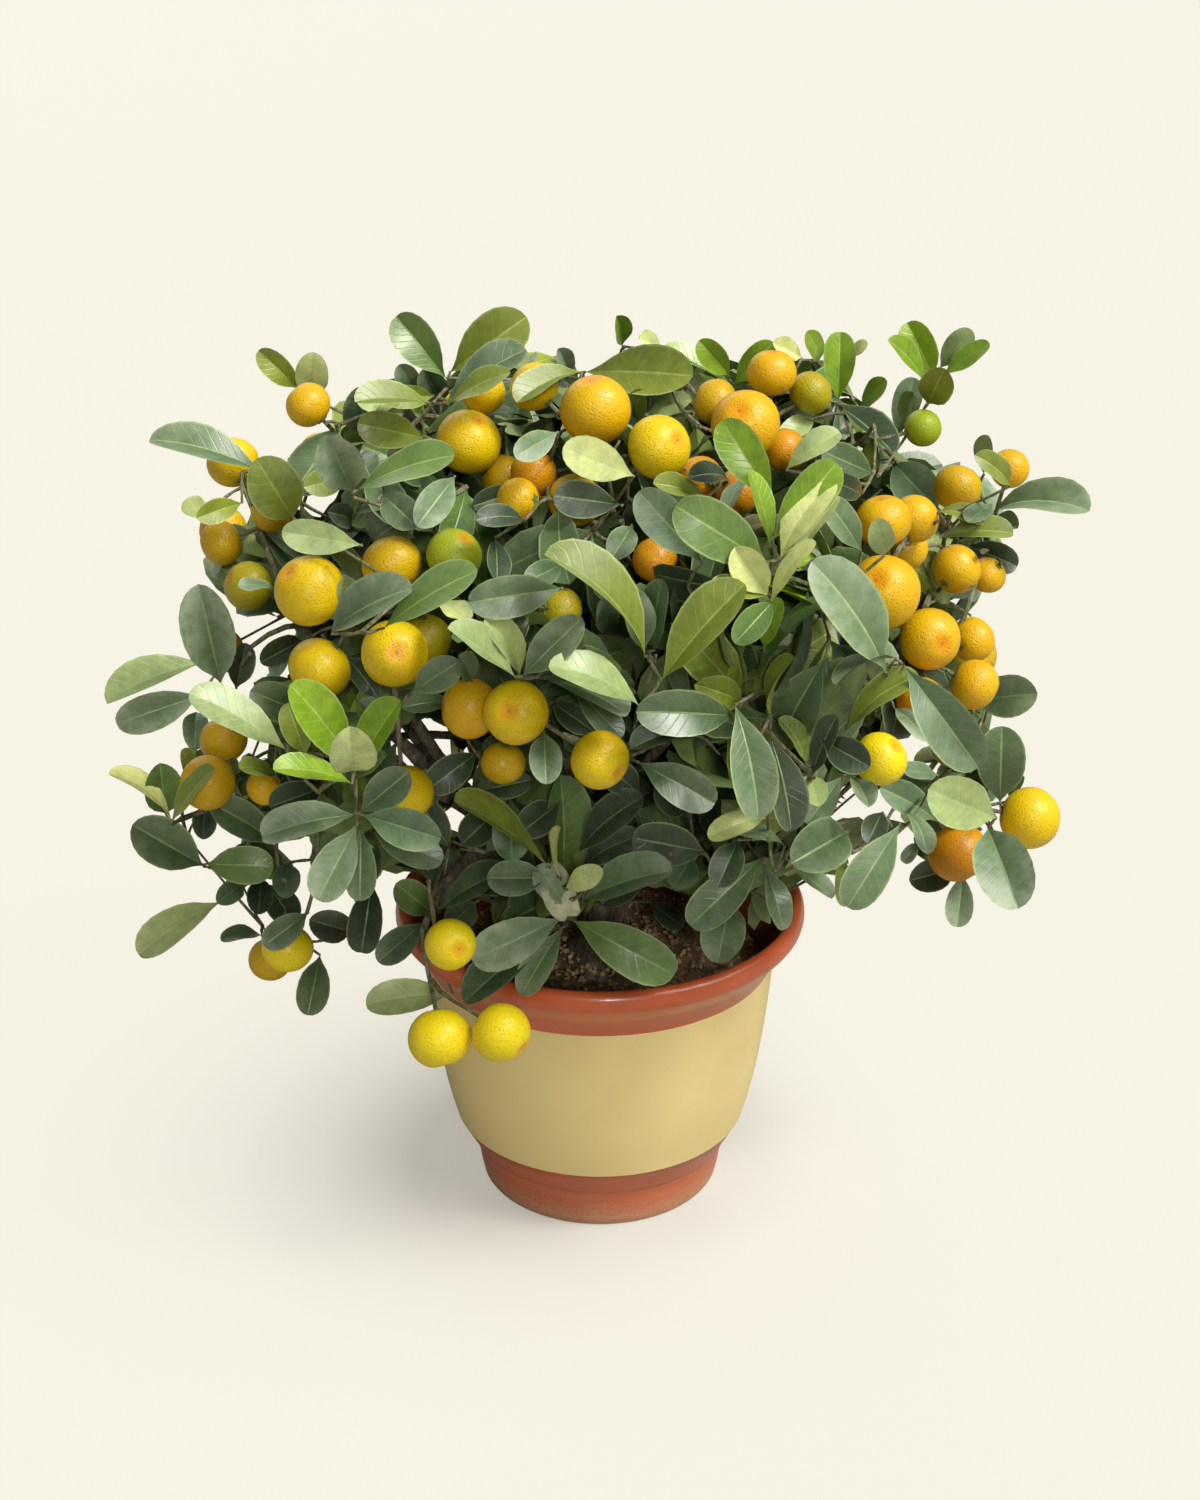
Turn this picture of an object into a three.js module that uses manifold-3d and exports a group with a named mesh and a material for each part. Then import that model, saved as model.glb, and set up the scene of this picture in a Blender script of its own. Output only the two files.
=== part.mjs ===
// A potted four seasons kumquat: a broad evergreen bush with round fruit, in a lipped plastic pot
// Millimetres, +Z up; the origin is the centre of the pot's flat underside

import * as THREE from 'three';
import { mergeVertices } from 'three/addons/utils/BufferGeometryUtils.js';
import Module from 'manifold-3d';

const wasm = await Module();
wasm.setup();

const GAP = 0.3; // clearance that keeps neighbouring pieces apart
const MERGE_DISTANCE = 0.02; // edges shorter than this are closed up
const UP = new THREE.Vector3(0, 0, 1);
const GOLDEN_ANGLE = Math.PI * (3 - Math.sqrt(5));

// Pot: [radius, height] outlines, from the foot up the outside and from the rim down the inside
const POT_SIDES = 32;
const POT_OUTSIDE = [
  [60, 0], [62.5, 1.5], [66, 22], [68, 24.5], [76, 39], [84.5, 83], [89.6, 129],
  [97, 141], [101.5, 147], [105, 150], [105, 157], [101, 160],
];
const POT_FLOOR = 4;
const POT_INSIDE = [[98, 158.5], [93.5, 142], [86, 126], [79.5, 66], [69, 34], [61.5, 22], [60, POT_FLOOR]];
const DRAIN_HOLES = 4;
const DRAIN_RADIUS = 5;
const DRAIN_RING = 38;

// Soil: it lies about 30 mm below the rim, a little heaped round the stem
const SOIL_EDGE = [85, 122];
const SOIL_RINGS = [[64, 126.5], [42, 128], [22, 129.5]];
const SOIL_TOP = 130;
const SOIL_LUMP = 2.2;
const SOIL_FLAT = 24; // radius of the level patch that the trunk stands on

// Trunk: a short stem with a root flare that leans a little to the front and right
const TRUNK_TOP = new THREE.Vector3(5, -4, 182);
const TRUNK_SIDES = 10;
const TRUNK_RINGS = [[0, 18], [0.08, 14.5], [0.25, 12], [0.6, 10.8], [1, 9.6]]; // [share of height, radius]
const FLARE_ROOTS = 5;
const FLARE_DEPTH = 0.16;

// Main limbs: [name, where it leaves the trunk, tip, radius at its foot, radius at its tip]
const LIMBS = [
  ['leader', 1, [-2, 2, 292], 7.5, 4.6],
  ['limb_left', 0.62, [-92, -20, 238], 6.6, 4.2],
  ['limb_right', 0.74, [92, -18, 244], 6.6, 4.2],
  ['limb_front', 0.68, [-6, -62, 238], 6, 4],
  ['limb_back', 0.86, [2, 84, 236], 6.4, 4.2],
];

// Masses: [name, heart, limb that carries its bough, where on that limb the bough leaves]
const MASSES = [
  ['top_left', [-90, -32, 380], 'leader', 0.7],
  ['top_middle', [6, -56, 386], 'leader', 0.96],
  ['top_right', [80, -10, 390], 'leader', 0.8],
  ['top_back_left', [-58, 84, 382], 'leader', 0.88],
  ['top_back_right', [66, 92, 378], 'leader', 0.62],
  ['left', [-150, -14, 326], 'limb_left', 0.8],
  ['front_left', [-96, -88, 328], 'limb_left', 0.62],
  ['front', [-24, -112, 308], 'limb_front', 0.96],
  ['front_right', [66, -104, 328], 'limb_front', 0.72],
  ['right', [144, -54, 328], 'limb_right', 0.84],
  ['back_right', [146, 84, 304], 'limb_back', 0.6],
  ['back', [2, 138, 308], 'limb_back', 0.96],
  ['back_left', [-146, 84, 304], 'limb_left', 0.7],
  ['low_left', [-164, -36, 222], 'limb_left', 0.96],
  ['low_front_left', [-84, -100, 192], 'limb_left', 0.5],
  ['low_front', [8, -108, 224], 'limb_front', 0.84],
  ['low_front_right', [98, -92, 246], 'limb_right', 0.66],
  ['low_right', [160, -26, 228], 'limb_right', 0.96],
  ['low_back_right', [112, 106, 212], 'limb_back', 0.74],
  ['low_back', [-16, 142, 206], 'limb_back', 0.84],
  ['low_back_left', [-122, 92, 208], 'limb_back', 0.5],
];
const LIMB_BEND = 0.45; // a main limb's curve is drawn to this share of its run
const LIMB_RISE = 0.35; // and there it has risen by at least this share of its whole rise
const BOUGH_BEND = 0.4; // the same share for a bough
const BOUGH_SWEEP = 0.16; // how far a bough first follows the limb it springs from
const BOUGH_RADII = [3.8, 2.5];
const STEM_RADII = [2.4, 2];
const STEM_SIDES = 5;
const STEM_LENGTH = 28; // a mass's stem runs this far from its bough's tip to its heart

// Crown: a rounded block that the leaves stay within, and the places where light shows through it
const CROWN_MIDDLE = new THREE.Vector3(-4, 0, 295);
const CROWN_REACH = new THREE.Vector3(240, 218, 164);
const CROWN_ROUNDNESS = 2.7;
const CROWN_TOP = 462;
const STANDING_OUT_SHARE = 1.3; // how far past the outline the leaves of a named shoot may go
const SHOOT_DEPTH = [0.756, 0.857]; // share of the crown's reach at which its shoots end
const SHOOT_COUNT = 136;
const SHOOT_SPACING = 27;
const UNDERSIDE_HEIGHT = -0.35; // below this share of the crown's reach no shoot ends near the pot
const UNDERSIDE_RADIUS = 135;
const OPEN_PLACES = [
  [-165, -70, 300, 20], [-120, -90, 215, 26], [-118, -110, 165, 22], [125, -90, 205, 30],
  [-230, -30, 330, 20], [195, -60, 255, 16],
];

// Fruit that shows: [x, y, z, diameter]
const FRUIT = [
  [-135, -20, 425, 21], [-184, 8, 348, 22], [-158, 5, 365, 21], [-168, -20, 336, 24],
  [-128, -105, 365, 32], [-126, -100, 326, 29], [-90, -122, 342, 30], [-60, -42, 414, 30],
  [-54, -20, 431, 21], [-30, -32, 437, 23], [-2, -60, 434, 32], [26, -80, 423, 29],
  [-30, -62, 405, 22], [54, -5, 422, 22], [66, -45, 423, 32], [80, -5, 436, 23],
  [99, 0, 425, 21], [-64, -104, 381, 25], [154, 10, 405, 18], [195, 0, 388, 19],
  [170, -5, 380, 23], [128, -66, 384, 26], [145, -45, 378, 23], [127, -88, 358, 34],
  [171, -10, 341, 24], [151, -74, 330, 29], [178, -30, 312, 21], [176, -56, 300, 24],
  [127, -108, 285, 25], [212, -30, 218, 31], [176, -40, 204, 30], [-36, -155, 328, 28],
  [-57, -134, 321, 27], [-43, -130, 293, 20], [0, -158, 307, 26], [-88, -125, 276, 27],
  [-183, -30, 260, 24], [-187, -60, 251, 27], [-162, -48, 243, 18], [-69, -125, 199, 24],
  [-75, -125, 149, 30], [-46, -130, 155, 28], [-154, -56, 159, 26], [-166, -36, 142, 22],
];
const FRUIT_SQUASH = 0.93;
const FRUIT_SIDES = 7;
const FRUIT_STEPS = 4;
const FRUIT_FACET = 0.5; // angle of a facet's middle from the fruit's pole, in radians
const FRUIT_PUSH = 0.03; // a fruit across a wall is drawn to the heart by this share at a time
const FRUIT_PUSHES = 30;
const STALK_DEPTH = 0.4; // share of its size at which the stalk ends, from the middle of the fruit
const HIDDEN_FRUIT_SHARE = 0.15; // share of the shoots away from the front that end in a fruit
const HIDDEN_FRUIT_SIZE = [21, 30];
const HIDDEN_FRUIT_BACK = 30; // a fruit that isn't listed lies at least this far back
const HIDDEN_FRUIT_SIDE = 220; // or this far to the side

// Shoots that stand out of the crown: [x, y, z] of each tip
const SHOOTS = [
  [-133, -20, 440], [-68, -38, 440], [-110, -95, 405], [-168, -25, 398], [-182, -55, 305],
  [-175, -20, 374], [-84, -122, 370], [-34, -140, 352], [74, -135, 385],
  [155, 10, 420], [112, 8, 424], [30, 12, 432], [195, 0, 340], [124, -104, 333],
  [-110, -120, 292], [-150, -90, 285], [-205, -48, 226], [-186, -55, 190], [-152, -62, 178],
  [-14, -116, 216], [-80, -104, 222], [-72, -122, 172], [62, -145, 328], [190, -46, 230],
  [160, -84, 345], [134, -58, 216], [50, -116, 246], [94, -92, 226], [0, -110, 258],
  [40, -125, 272], [18, -140, 300], [-66, -105, 240], [-30, -130, 368], [-4, -100, 390],
  [44, -138, 366], [110, -110, 356], [-80, -90, 395], [113, -85, 238], [22, -118, 196],
  [6, -22, 420], [-24, -92, 404], [44, -22, 416], [-60, -60, 398],
];

// Twigs and leaves
const TWIG_SIDES = 3;
const TWIG_FOOT_RADIUS = 2;
const TWIG_TIP_RADIUS = 1.7; // on a twig that leaves the stem
const TWIGLET_TIP_RADIUS = 1.3; // on one that leaves another twig
const STEM_JOINTS = [0.5, 0.72, 0.94]; // where twigs may leave the stem
const TWIG_JOINTS = [0.6, 0.94]; // and where they may leave a twig
const TURN_COST = 0.6; // how much a twig's way counts for more when it turns aside
const JOINT_REACH = 12; // a twig may be near another one this close to its joint
const LEAF_LENGTH = [52, 64];
const LEAF_WIDTH_SHARE = 0.52;
const LEAF_WIDEST = 0.62; // share of the length where it is widest
const LEAF_TIP_SHARE = 0.48; // width of its blunt tip, as a share of its width
const LEAF_THICKNESS = 1.4;
const LEAF_CUP = 0.4; // its edge is raised by this much
const LEAF_ROOT = -0.01; // share of the length by which it is sunk past the twig's middle
const LEAF_SPREAD = 42; // degrees from the shoot, for the leaf at the tip
const LEAF_SPREAD_STEP = 9;
const LEAF_SPREAD_RANGE = 10;
const LEAF_FIRST = 1.5; // from the shoot's tip to the first leaf
const LEAF_STEP = 4;
const LEAF_FACE_UP = 0.7; // how much a leaf's face is turned to the sky
const LEAF_FREE = 9; // a leaf may be near twigs this close to its root
const LEAF_OUTER = 14; // what lies farther out than this keeps clear of other leaves
const LEAF_TWIG_SPACING = 2.5;
const LEAF_FRUIT_SPACING = 1;
const FRUIT_LEAF_SPACING = 3; // from a fruit to the place where the first leaf by it springs
const LEAF_SPACING = 3.2; // least distance between the outer parts of two leaves
const TWIG_SPACING = 4;
const JOINT_TRIES = 14;
const LEAVES_ON_SHOOT = 4;
const LEAVES_BY_FRUIT = 2;
const LEAF_TURNS = 6;
const SAMPLE_STEP = 3;
const LIMB_CLEARANCE = 1;
const POT_CLEARANCE = 3;
const WALL_CLEARANCE = 0.4;

// Finishes
const TERRACOTTA = new THREE.MeshStandardMaterial({ color: 0xb5573a, roughness: 0.45, metalness: 0 });
const SOIL_BROWN = new THREE.MeshStandardMaterial({ color: 0x3a2c22, roughness: 1, metalness: 0 });
const BARK = new THREE.MeshStandardMaterial({ color: 0x5a4c3c, roughness: 0.9, metalness: 0 });
const FOLIAGE = new THREE.MeshStandardMaterial({ color: 0x4e7048, roughness: 0.6, metalness: 0 });

const point = ([x, y, z]) => new THREE.Vector3(x, y, z);
const between = ([low, high], share) => low + (high - low) * share;

// The same short row of numbers from the same seed each time, each from 0 up to 1
function seeded(seed) {
  let state = seed;
  return () => {
    state = (state * 1664525 + 1013904223) % 4294967296;
    return state / 4294967296;
  };
}

// A closed body from a geometry whose repeated points are merged
function solidOf(geometry) {
  const bare = geometry.clone();
  bare.deleteAttribute('normal');
  bare.deleteAttribute('uv');
  const merged = mergeVertices(bare, 1e-4);
  const corners = merged.index.array;
  const kept = [];
  for (let i = 0; i < corners.length; i += 3) {
    const [a, b, c] = corners.slice(i, i + 3);
    if (a !== b && b !== c && c !== a) kept.push(a, b, c);
  }
  return new wasm.Manifold(new wasm.Mesh({
    numProp: 3,
    vertProperties: merged.attributes.position.array,
    triVerts: new Uint32Array(kept),
  }));
}

// The largest outer shell of a body, so loose scraps go and sealed hollows are filled
function mainShell(solid) {
  const shells = solid.decompose();
  return shells.reduce((best, shell) => (shell.volume() > best.volume() ? shell : best));
}

function geometryOf(solid) {
  const mesh = solid.getMesh();
  const geometry = new THREE.BufferGeometry();
  geometry.setAttribute('position', new THREE.BufferAttribute(mesh.vertProperties, 3));
  geometry.setIndex(new THREE.BufferAttribute(mesh.triVerts, 1));
  geometry.computeVertexNormals();
  return geometry;
}

// A skin over a row of rings that have the same number of points, with both ends closed
function loft(rings) {
  const sides = rings[0].length;
  const last = (rings.length - 1) * sides;
  const corners = [];
  for (let start = 0; start < last; start += sides) {
    for (let side = 0; side < sides; side++) {
      const a = start + side;
      const b = start + (side + 1) % sides;
      corners.push(a, b, b + sides, a, b + sides, a + sides);
    }
  }
  for (let side = 1; side + 1 < sides; side++) {
    corners.push(0, side + 1, side, last, last + side, last + side + 1);
  }
  const geometry = new THREE.BufferGeometry().setFromPoints(rings.flat());
  geometry.setIndex(corners);
  return solidOf(geometry);
}

// A ring of points round a centre, square to a direction
function ring(centre, direction, radius, sides) {
  const turn = new THREE.Quaternion().setFromUnitVectors(UP, direction.clone().normalize());
  return Array.from({ length: sides }, (_, side) => {
    const angle = (side / sides) * 2 * Math.PI;
    const spoke = new THREE.Vector3(Math.cos(angle), Math.sin(angle), 0);
    return spoke.multiplyScalar(radius).applyQuaternion(turn).add(centre);
  });
}

// Pot and soil

function turned(outline) {
  const points = outline.map(([radius, height]) => new THREE.Vector2(radius, height));
  return new THREE.LatheGeometry(points, POT_SIDES).rotateX(Math.PI / 2);
}

function pot() {
  let body = solidOf(turned([[0, 0], ...POT_OUTSIDE, ...POT_INSIDE, [0, POT_FLOOR]]));
  for (let hole = 0; hole < DRAIN_HOLES; hole++) {
    const angle = (hole / DRAIN_HOLES) * 2 * Math.PI;
    const drill = new THREE.CylinderGeometry(DRAIN_RADIUS, DRAIN_RADIUS, 4 * POT_FLOOR, 8);
    drill.rotateX(Math.PI / 2);
    drill.translate(DRAIN_RING * Math.cos(angle), DRAIN_RING * Math.sin(angle), 0);
    body = body.subtract(solidOf(drill));
  }
  return body;
}

function soil() {
  const side = POT_INSIDE.slice(2).reverse().map(([radius, height]) => [radius - GAP - 0.1, height]);
  side[0][1] = POT_FLOOR + GAP;
  side[side.length - 1] = SOIL_EDGE;
  const body = turned([[0, POT_FLOOR + GAP], ...side, ...SOIL_RINGS, [0, SOIL_TOP]]);
  const places = body.attributes.position;
  for (let i = 0; i < places.count; i++) {
    const [x, y, z] = [places.getX(i), places.getY(i), places.getZ(i)];
    const out = Math.hypot(x, y);
    if (z < SOIL_EDGE[1] || out < SOIL_FLAT) continue;
    const lump = Math.sin(x * 0.31 + 1.3 * Math.sin(y * 0.21)) * Math.cos(y * 0.27 - x * 0.11);
    places.setZ(i, z + SOIL_LUMP * lump);
  }
  return solidOf(body);
}

// Trunk and limbs: each keeps its curve and radii, so that others can spring from it or avoid it

const wood = [];

function limbFrom(name, curve, radii, sides, steps) {
  const axis = curve.getPoints(steps);
  const radiusAt = (share) => between(radii, share);
  const skin = (extra) => {
    const rings = axis.map((centre, step) => {
      const direction = curve.getTangent(step / steps);
      const along = step === steps ? extra : 0;
      const seat = centre.clone().addScaledVector(direction, along);
      return ring(seat, direction, radiusAt(step / steps) + extra, sides);
    });
    return loft(rings);
  };
  return { name, curve, radiusAt, axis, body: skin(0), hull: skin(GAP / Math.cos(Math.PI / sides)) };
}

// A new limb is cut clear of every limb that was there before it
function addLimb(limb) {
  for (const earlier of wood) limb.body = limb.body.subtract(earlier.hull);
  limb.body = mainShell(limb.body);
  wood.push(limb);
}

function trunk() {
  const foot = new THREE.Vector3(0, 0, SOIL_TOP + GAP);
  const lean = TRUNK_TOP.clone().sub(foot);
  const rings = (extra) => TRUNK_RINGS.map(([share, radius]) => {
    const centre = foot.clone().addScaledVector(lean, share);
    const flare = FLARE_DEPTH * (1 - share) ** 6;
    return Array.from({ length: TRUNK_SIDES }, (_, side) => {
      const angle = (side / TRUNK_SIDES) * 2 * Math.PI;
      const swell = radius * (1 + flare * Math.cos(FLARE_ROOTS * angle)) + extra;
      const top = share === 1 ? extra : 0;
      const spoke = new THREE.Vector3(swell * Math.cos(angle), swell * Math.sin(angle), top);
      return spoke.add(centre);
    });
  });
  const curve = new THREE.LineCurve3(foot, TRUNK_TOP);
  const radiusAt = (share) => between([TRUNK_RINGS[1][1], TRUNK_RINGS.at(-1)[1]], share);
  const axis = curve.getPoints(4);
  return { name: 'trunk', curve, radiusAt, axis, body: loft(rings(0)), hull: loft(rings(GAP)) };
}

function mainLimb([name, share, tip, footRadius, tipRadius]) {
  const start = wood[0].curve.getPoint(share);
  const end = point(tip);
  const bend = start.clone().lerp(end, LIMB_BEND);
  bend.z = Math.max(bend.z, start.z + LIMB_RISE * (end.z - start.z));
  return limbFrom(name, new THREE.QuadraticBezierCurve3(start, bend, end), [footRadius, tipRadius], 6, 4);
}

function boughTo([name, heart, parentName, share]) {
  const parent = wood.find((limb) => limb.name === parentName);
  const start = parent.curve.getPoint(share);
  const run = point(heart).sub(start);
  const bend = start.clone().addScaledVector(run, BOUGH_BEND);
  bend.addScaledVector(parent.curve.getTangent(share), BOUGH_SWEEP * run.length());
  const arrival = point(heart).sub(bend).normalize();
  const tip = point(heart).addScaledVector(arrival, -STEM_LENGTH);
  const curve = new THREE.QuadraticBezierCurve3(start, bend, tip);
  return limbFrom(`bough_${name}`, curve, BOUGH_RADII, 5, 3);
}

wood.push(trunk());
for (const row of LIMBS) addLimb(mainLimb(row));
for (const row of MASSES) addLimb(boughTo(row));

// Space: each mass keeps to the points that are nearer to its heart than to any other

const hearts = MASSES.map(([, heart]) => point(heart));

function nearestHeart(place) {
  let best = 0;
  for (let i = 1; i < hearts.length; i++) {
    if (place.distanceTo(hearts[i]) < place.distanceTo(hearts[best])) best = i;
  }
  return best;
}

// Depth of a point inside the walls that part one heart from the others
function depthInside(place, own) {
  let depth = Infinity;
  for (let other = 0; other < hearts.length; other++) {
    if (other === own) continue;
    const across = hearts[other].clone().sub(hearts[own]);
    const middle = hearts[other].clone().add(hearts[own]).multiplyScalar(0.5);
    depth = Math.min(depth, middle.sub(place).dot(across) / across.length());
  }
  return depth;
}

// Size of a step measured so that 1 is on a rounded block
function blockSize({ x, y, z }) {
  const sum = [x, y, z].reduce((total, step) => total + Math.abs(step) ** CROWN_ROUNDNESS, 0);
  return sum ** (1 / CROWN_ROUNDNESS);
}

// How far out a point is: 1 on the crown's outline
function crownShare(place) {
  return blockSize(place.clone().sub(CROWN_MIDDLE).divide(CROWN_REACH));
}

function inOpenPlace(place) {
  return OPEN_PLACES.some(([x, y, z, radius]) => place.distanceTo(point([x, y, z])) < radius);
}

const rimRadius = Math.max(...POT_OUTSIDE.map(([radius]) => radius)) + POT_CLEARANCE;
const rimHeight = POT_OUTSIDE.at(-1)[1] + POT_CLEARANCE;

function touchesPot(place) {
  return place.z < rimHeight && Math.hypot(place.x, place.y) < rimRadius;
}

const limbPath = new THREE.Line3();
const nearestPlace = new THREE.Vector3();

function touchesLimb(place, clearance, skipped) {
  return wood.some((limb) => {
    if (limb.name === skipped) return false;
    const steps = limb.axis.length - 1;
    for (let step = 0; step < steps; step++) {
      limbPath.set(limb.axis[step], limb.axis[step + 1]);
      limbPath.closestPointToPoint(place, true, nearestPlace);
      if (nearestPlace.distanceTo(place) < limb.radiusAt(step / steps) + clearance) return true;
    }
    return false;
  });
}

// Shoots and fruit of the whole crown: those named above, then a spiral of shoots over its outline

function crownTargets() {
  const random = seeded(7);
  const targets = [
    ...FRUIT.map(([x, y, z, size]) => ({ place: point([x, y, z]), size })),
    ...SHOOTS.map((tip) => ({ place: point(tip), size: 0, standsOut: true })),
  ];
  for (let i = 0; i < SHOOT_COUNT; i++) {
    const height = 1 - (2 * (i + 0.5)) / SHOOT_COUNT;
    const angle = i * GOLDEN_ANGLE;
    const across = Math.sqrt(1 - height * height);
    const out = new THREE.Vector3(across * Math.cos(angle), across * Math.sin(angle), height);
    const depth = between(SHOOT_DEPTH, random());
    const place = out.multiplyScalar(depth / blockSize(out)).multiply(CROWN_REACH).add(CROWN_MIDDLE);
    const hidden = place.y > HIDDEN_FRUIT_BACK || Math.abs(place.x) > HIDDEN_FRUIT_SIDE;
    const bears = random() < HIDDEN_FRUIT_SHARE && hidden;
    const size = bears ? between(HIDDEN_FRUIT_SIZE, random()) : 0;
    const under = height < UNDERSIDE_HEIGHT && Math.hypot(place.x, place.y) < UNDERSIDE_RADIUS;
    const crowded = targets.some((other) => (
      other.place.distanceTo(place) < SHOOT_SPACING + other.size / 2));
    if (under || crowded || inOpenPlace(place)) continue;
    targets.push({ place, size });
  }
  return targets;
}

// Mass: a stem, twigs to each shoot and fruit in its space, and leaves

function rod(start, end, radii, sides) {
  const direction = end.clone().sub(start);
  return loft([ring(start, direction, radii[0], sides), ring(end, direction, radii[1], sides)]);
}

// A fruit is a little flattened, and turned so that its stalk goes in at the middle of a facet
function fruit(centre, stalk, size) {
  const ball = new THREE.SphereGeometry(size / 2, FRUIT_SIDES, FRUIT_STEPS).scale(1, FRUIT_SQUASH, 1);
  const facet = new THREE.Vector3().setFromSphericalCoords(1, FRUIT_FACET, Math.PI / FRUIT_SIDES);
  const turn = new THREE.Quaternion().setFromUnitVectors(facet, stalk);
  return solidOf(ball.applyQuaternion(turn).translate(centre.x, centre.y, centre.z));
}

// A leaf's outline and keel: its root is sunk through the middle of the twig
function leafShape(root, direction, face, length) {
  const across = new THREE.Vector3().crossVectors(direction, face);
  const at = (along, aside, above) => root.clone().addScaledVector(direction, along * length)
    .addScaledVector(across, aside * LEAF_WIDTH_SHARE * length).addScaledVector(face, above);
  return {
    root: at(LEAF_ROOT, 0, 0),
    left: at(LEAF_WIDEST, -0.5, LEAF_CUP),
    keel: at(0.5 * LEAF_WIDEST, 0, LEAF_CUP - LEAF_THICKNESS),
    right: at(LEAF_WIDEST, 0.5, LEAF_CUP),
    tipLeft: at(1, -LEAF_TIP_SHARE / 2, 0),
    tipRight: at(1, LEAF_TIP_SHARE / 2, 0),
  };
}

function leafBody({ root, left, keel, right, tipLeft, tipRight }) {
  return loft([[root, root, root], [right, keel, left], [tipRight, tipLeft, tipLeft]]);
}

function midway(a, b, share) {
  return a.clone().lerp(b, share);
}

function stepsAlong(start, end) {
  const count = Math.ceil(start.distanceTo(end) / SAMPLE_STEP);
  return Array.from({ length: count + 1 }, (_, i) => midway(start, end, i / count));
}

function growMass(index, targets, random) {
  const [name, heartPlace] = MASSES[index];
  const heart = point(heartPlace);
  const bough = wood.find((limb) => limb.name === `bough_${name}`);
  const arrival = bough.curve.getTangent(1);
  const foot = bough.curve.getPoint(1).addScaledVector(arrival, GAP);
  const pieces = [rod(foot, heart, STEM_RADII, STEM_SIDES)];
  const stemInside = STEM_RADII[1] * Math.cos(Math.PI / STEM_SIDES);
  const joints = STEM_JOINTS.map((share) => (
    { place: midway(foot, heart, share), direction: arrival, inside: stemInside, first: true }));
  const twigs = [new THREE.Line3(foot, heart)];
  const fruits = [];
  const leaves = [];
  const nearest = new THREE.Vector3();

  const nearTwig = (place, clearance, skipped) => twigs.some((line) => line !== skipped
    && line.closestPointToPoint(place, true, nearest).distanceTo(place) < clearance);
  const inFruit = (place, clearance) => fruits.some((other) => (
    other.place.distanceTo(place) < other.size / 2 + clearance));
  const clear = (place, margin) => depthInside(place, index) > margin + WALL_CLEARANCE
    && !touchesPot(place) && !touchesLimb(place, margin + LIMB_CLEARANCE);

  // A twig leaves the joint that needs the shortest and straightest way
  const jointFor = (target, size) => {
    const costs = joints.map((joint) => {
      const way = target.clone().sub(joint.place);
      return way.length() * (1 + TURN_COST) - TURN_COST * way.dot(joint.direction);
    });
    const order = costs.map((_, i) => i).sort((a, b) => costs[a] - costs[b]);
    return order.slice(0, JOINT_TRIES).map((i) => joints[i]).find((joint) => (
      stepsAlong(joint.place, target).every((step) => {
        const reach = joint.place.distanceTo(step);
        if (target.distanceTo(step) < size / 2) return true;
        return clear(step, TWIG_FOOT_RADIUS) && !inFruit(step, TWIG_FOOT_RADIUS)
          && (reach < JOINT_REACH || !nearTwig(step, TWIG_SPACING));
      })));
  };

  const addTwig = (joint, end) => {
    const direction = end.clone().sub(joint.place).normalize();
    const footRadius = Math.min(TWIG_FOOT_RADIUS, 0.9 * joint.inside);
    const tipRadius = joint.first ? TWIG_TIP_RADIUS : TWIGLET_TIP_RADIUS;
    pieces.push(rod(joint.place, end, [footRadius, tipRadius], TWIG_SIDES));
    const inside = Math.min(footRadius, tipRadius) * Math.cos(Math.PI / TWIG_SIDES);
    for (const share of TWIG_JOINTS) {
      joints.push({ place: midway(joint.place, end, share), direction, inside });
    }
    twigs.push(new THREE.Line3(joint.place, end));
    return direction;
  };

  const addLeaf = (root, direction, face, length, standsOut) => {
    const shape = leafShape(root, direction, face, length);
    const inside = Object.values(shape).every((corner) => depthInside(corner, index) > WALL_CLEARANCE
      && corner.z < CROWN_TOP && crownShare(corner) < (standsOut ? STANDING_OUT_SHARE : 1));
    if (!inside) return false;
    const { left, right, tipLeft, tipRight } = shape;
    const tip = midway(tipLeft, tipRight, 0.5);
    const samples = [[root, tip], [root, left], [root, right], [left, tipLeft], [right, tipRight]]
      .flatMap(([start, end]) => stepsAlong(start, end));
    const blocked = samples.some((sample) => touchesPot(sample) || touchesLimb(sample, LIMB_CLEARANCE)
      || inFruit(sample, LEAF_FRUIT_SPACING) || (!standsOut && inOpenPlace(sample))
      || (sample.distanceTo(root) > LEAF_FREE && nearTwig(sample, LEAF_TWIG_SPACING)));
    const outer = samples.filter((sample) => sample.distanceTo(root) > LEAF_OUTER);
    const crossing = leaves.some((other) => other.some((place) => (
      outer.some((sample) => sample.distanceTo(place) < LEAF_SPACING))));
    if (blocked || crossing) return false;
    leaves.push(outer);
    pieces.push(leafBody(shape));
    return true;
  };

  const addLeaves = (end, direction, count, standsOut) => {
    const aside = new THREE.Vector3(0, 1, 0).cross(direction).normalize();
    const turnStart = random() * 2 * Math.PI;
    for (let i = 0; i < count; i++) {
      const root = end.clone().addScaledVector(direction, -LEAF_FIRST - LEAF_STEP * i);
      const degrees = LEAF_SPREAD + LEAF_SPREAD_STEP * i + LEAF_SPREAD_RANGE * random();
      const spread = THREE.MathUtils.degToRad(degrees);
      const length = between(LEAF_LENGTH, random());
      for (let turn = 0; turn < LEAF_TURNS; turn++) {
        const angle = turnStart + i * GOLDEN_ANGLE + turn * (2 * Math.PI / LEAF_TURNS);
        const spoke = aside.clone().applyAxisAngle(direction, angle);
        const along = direction.clone().multiplyScalar(Math.cos(spread));
        along.addScaledVector(spoke, Math.sin(spread));
        const face = direction.clone().addScaledVector(UP, LEAF_FACE_UP);
        face.addScaledVector(along, -face.dot(along)).normalize();
        if (addLeaf(root, along, face, length, standsOut)) break;
      }
    }
  };

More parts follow.
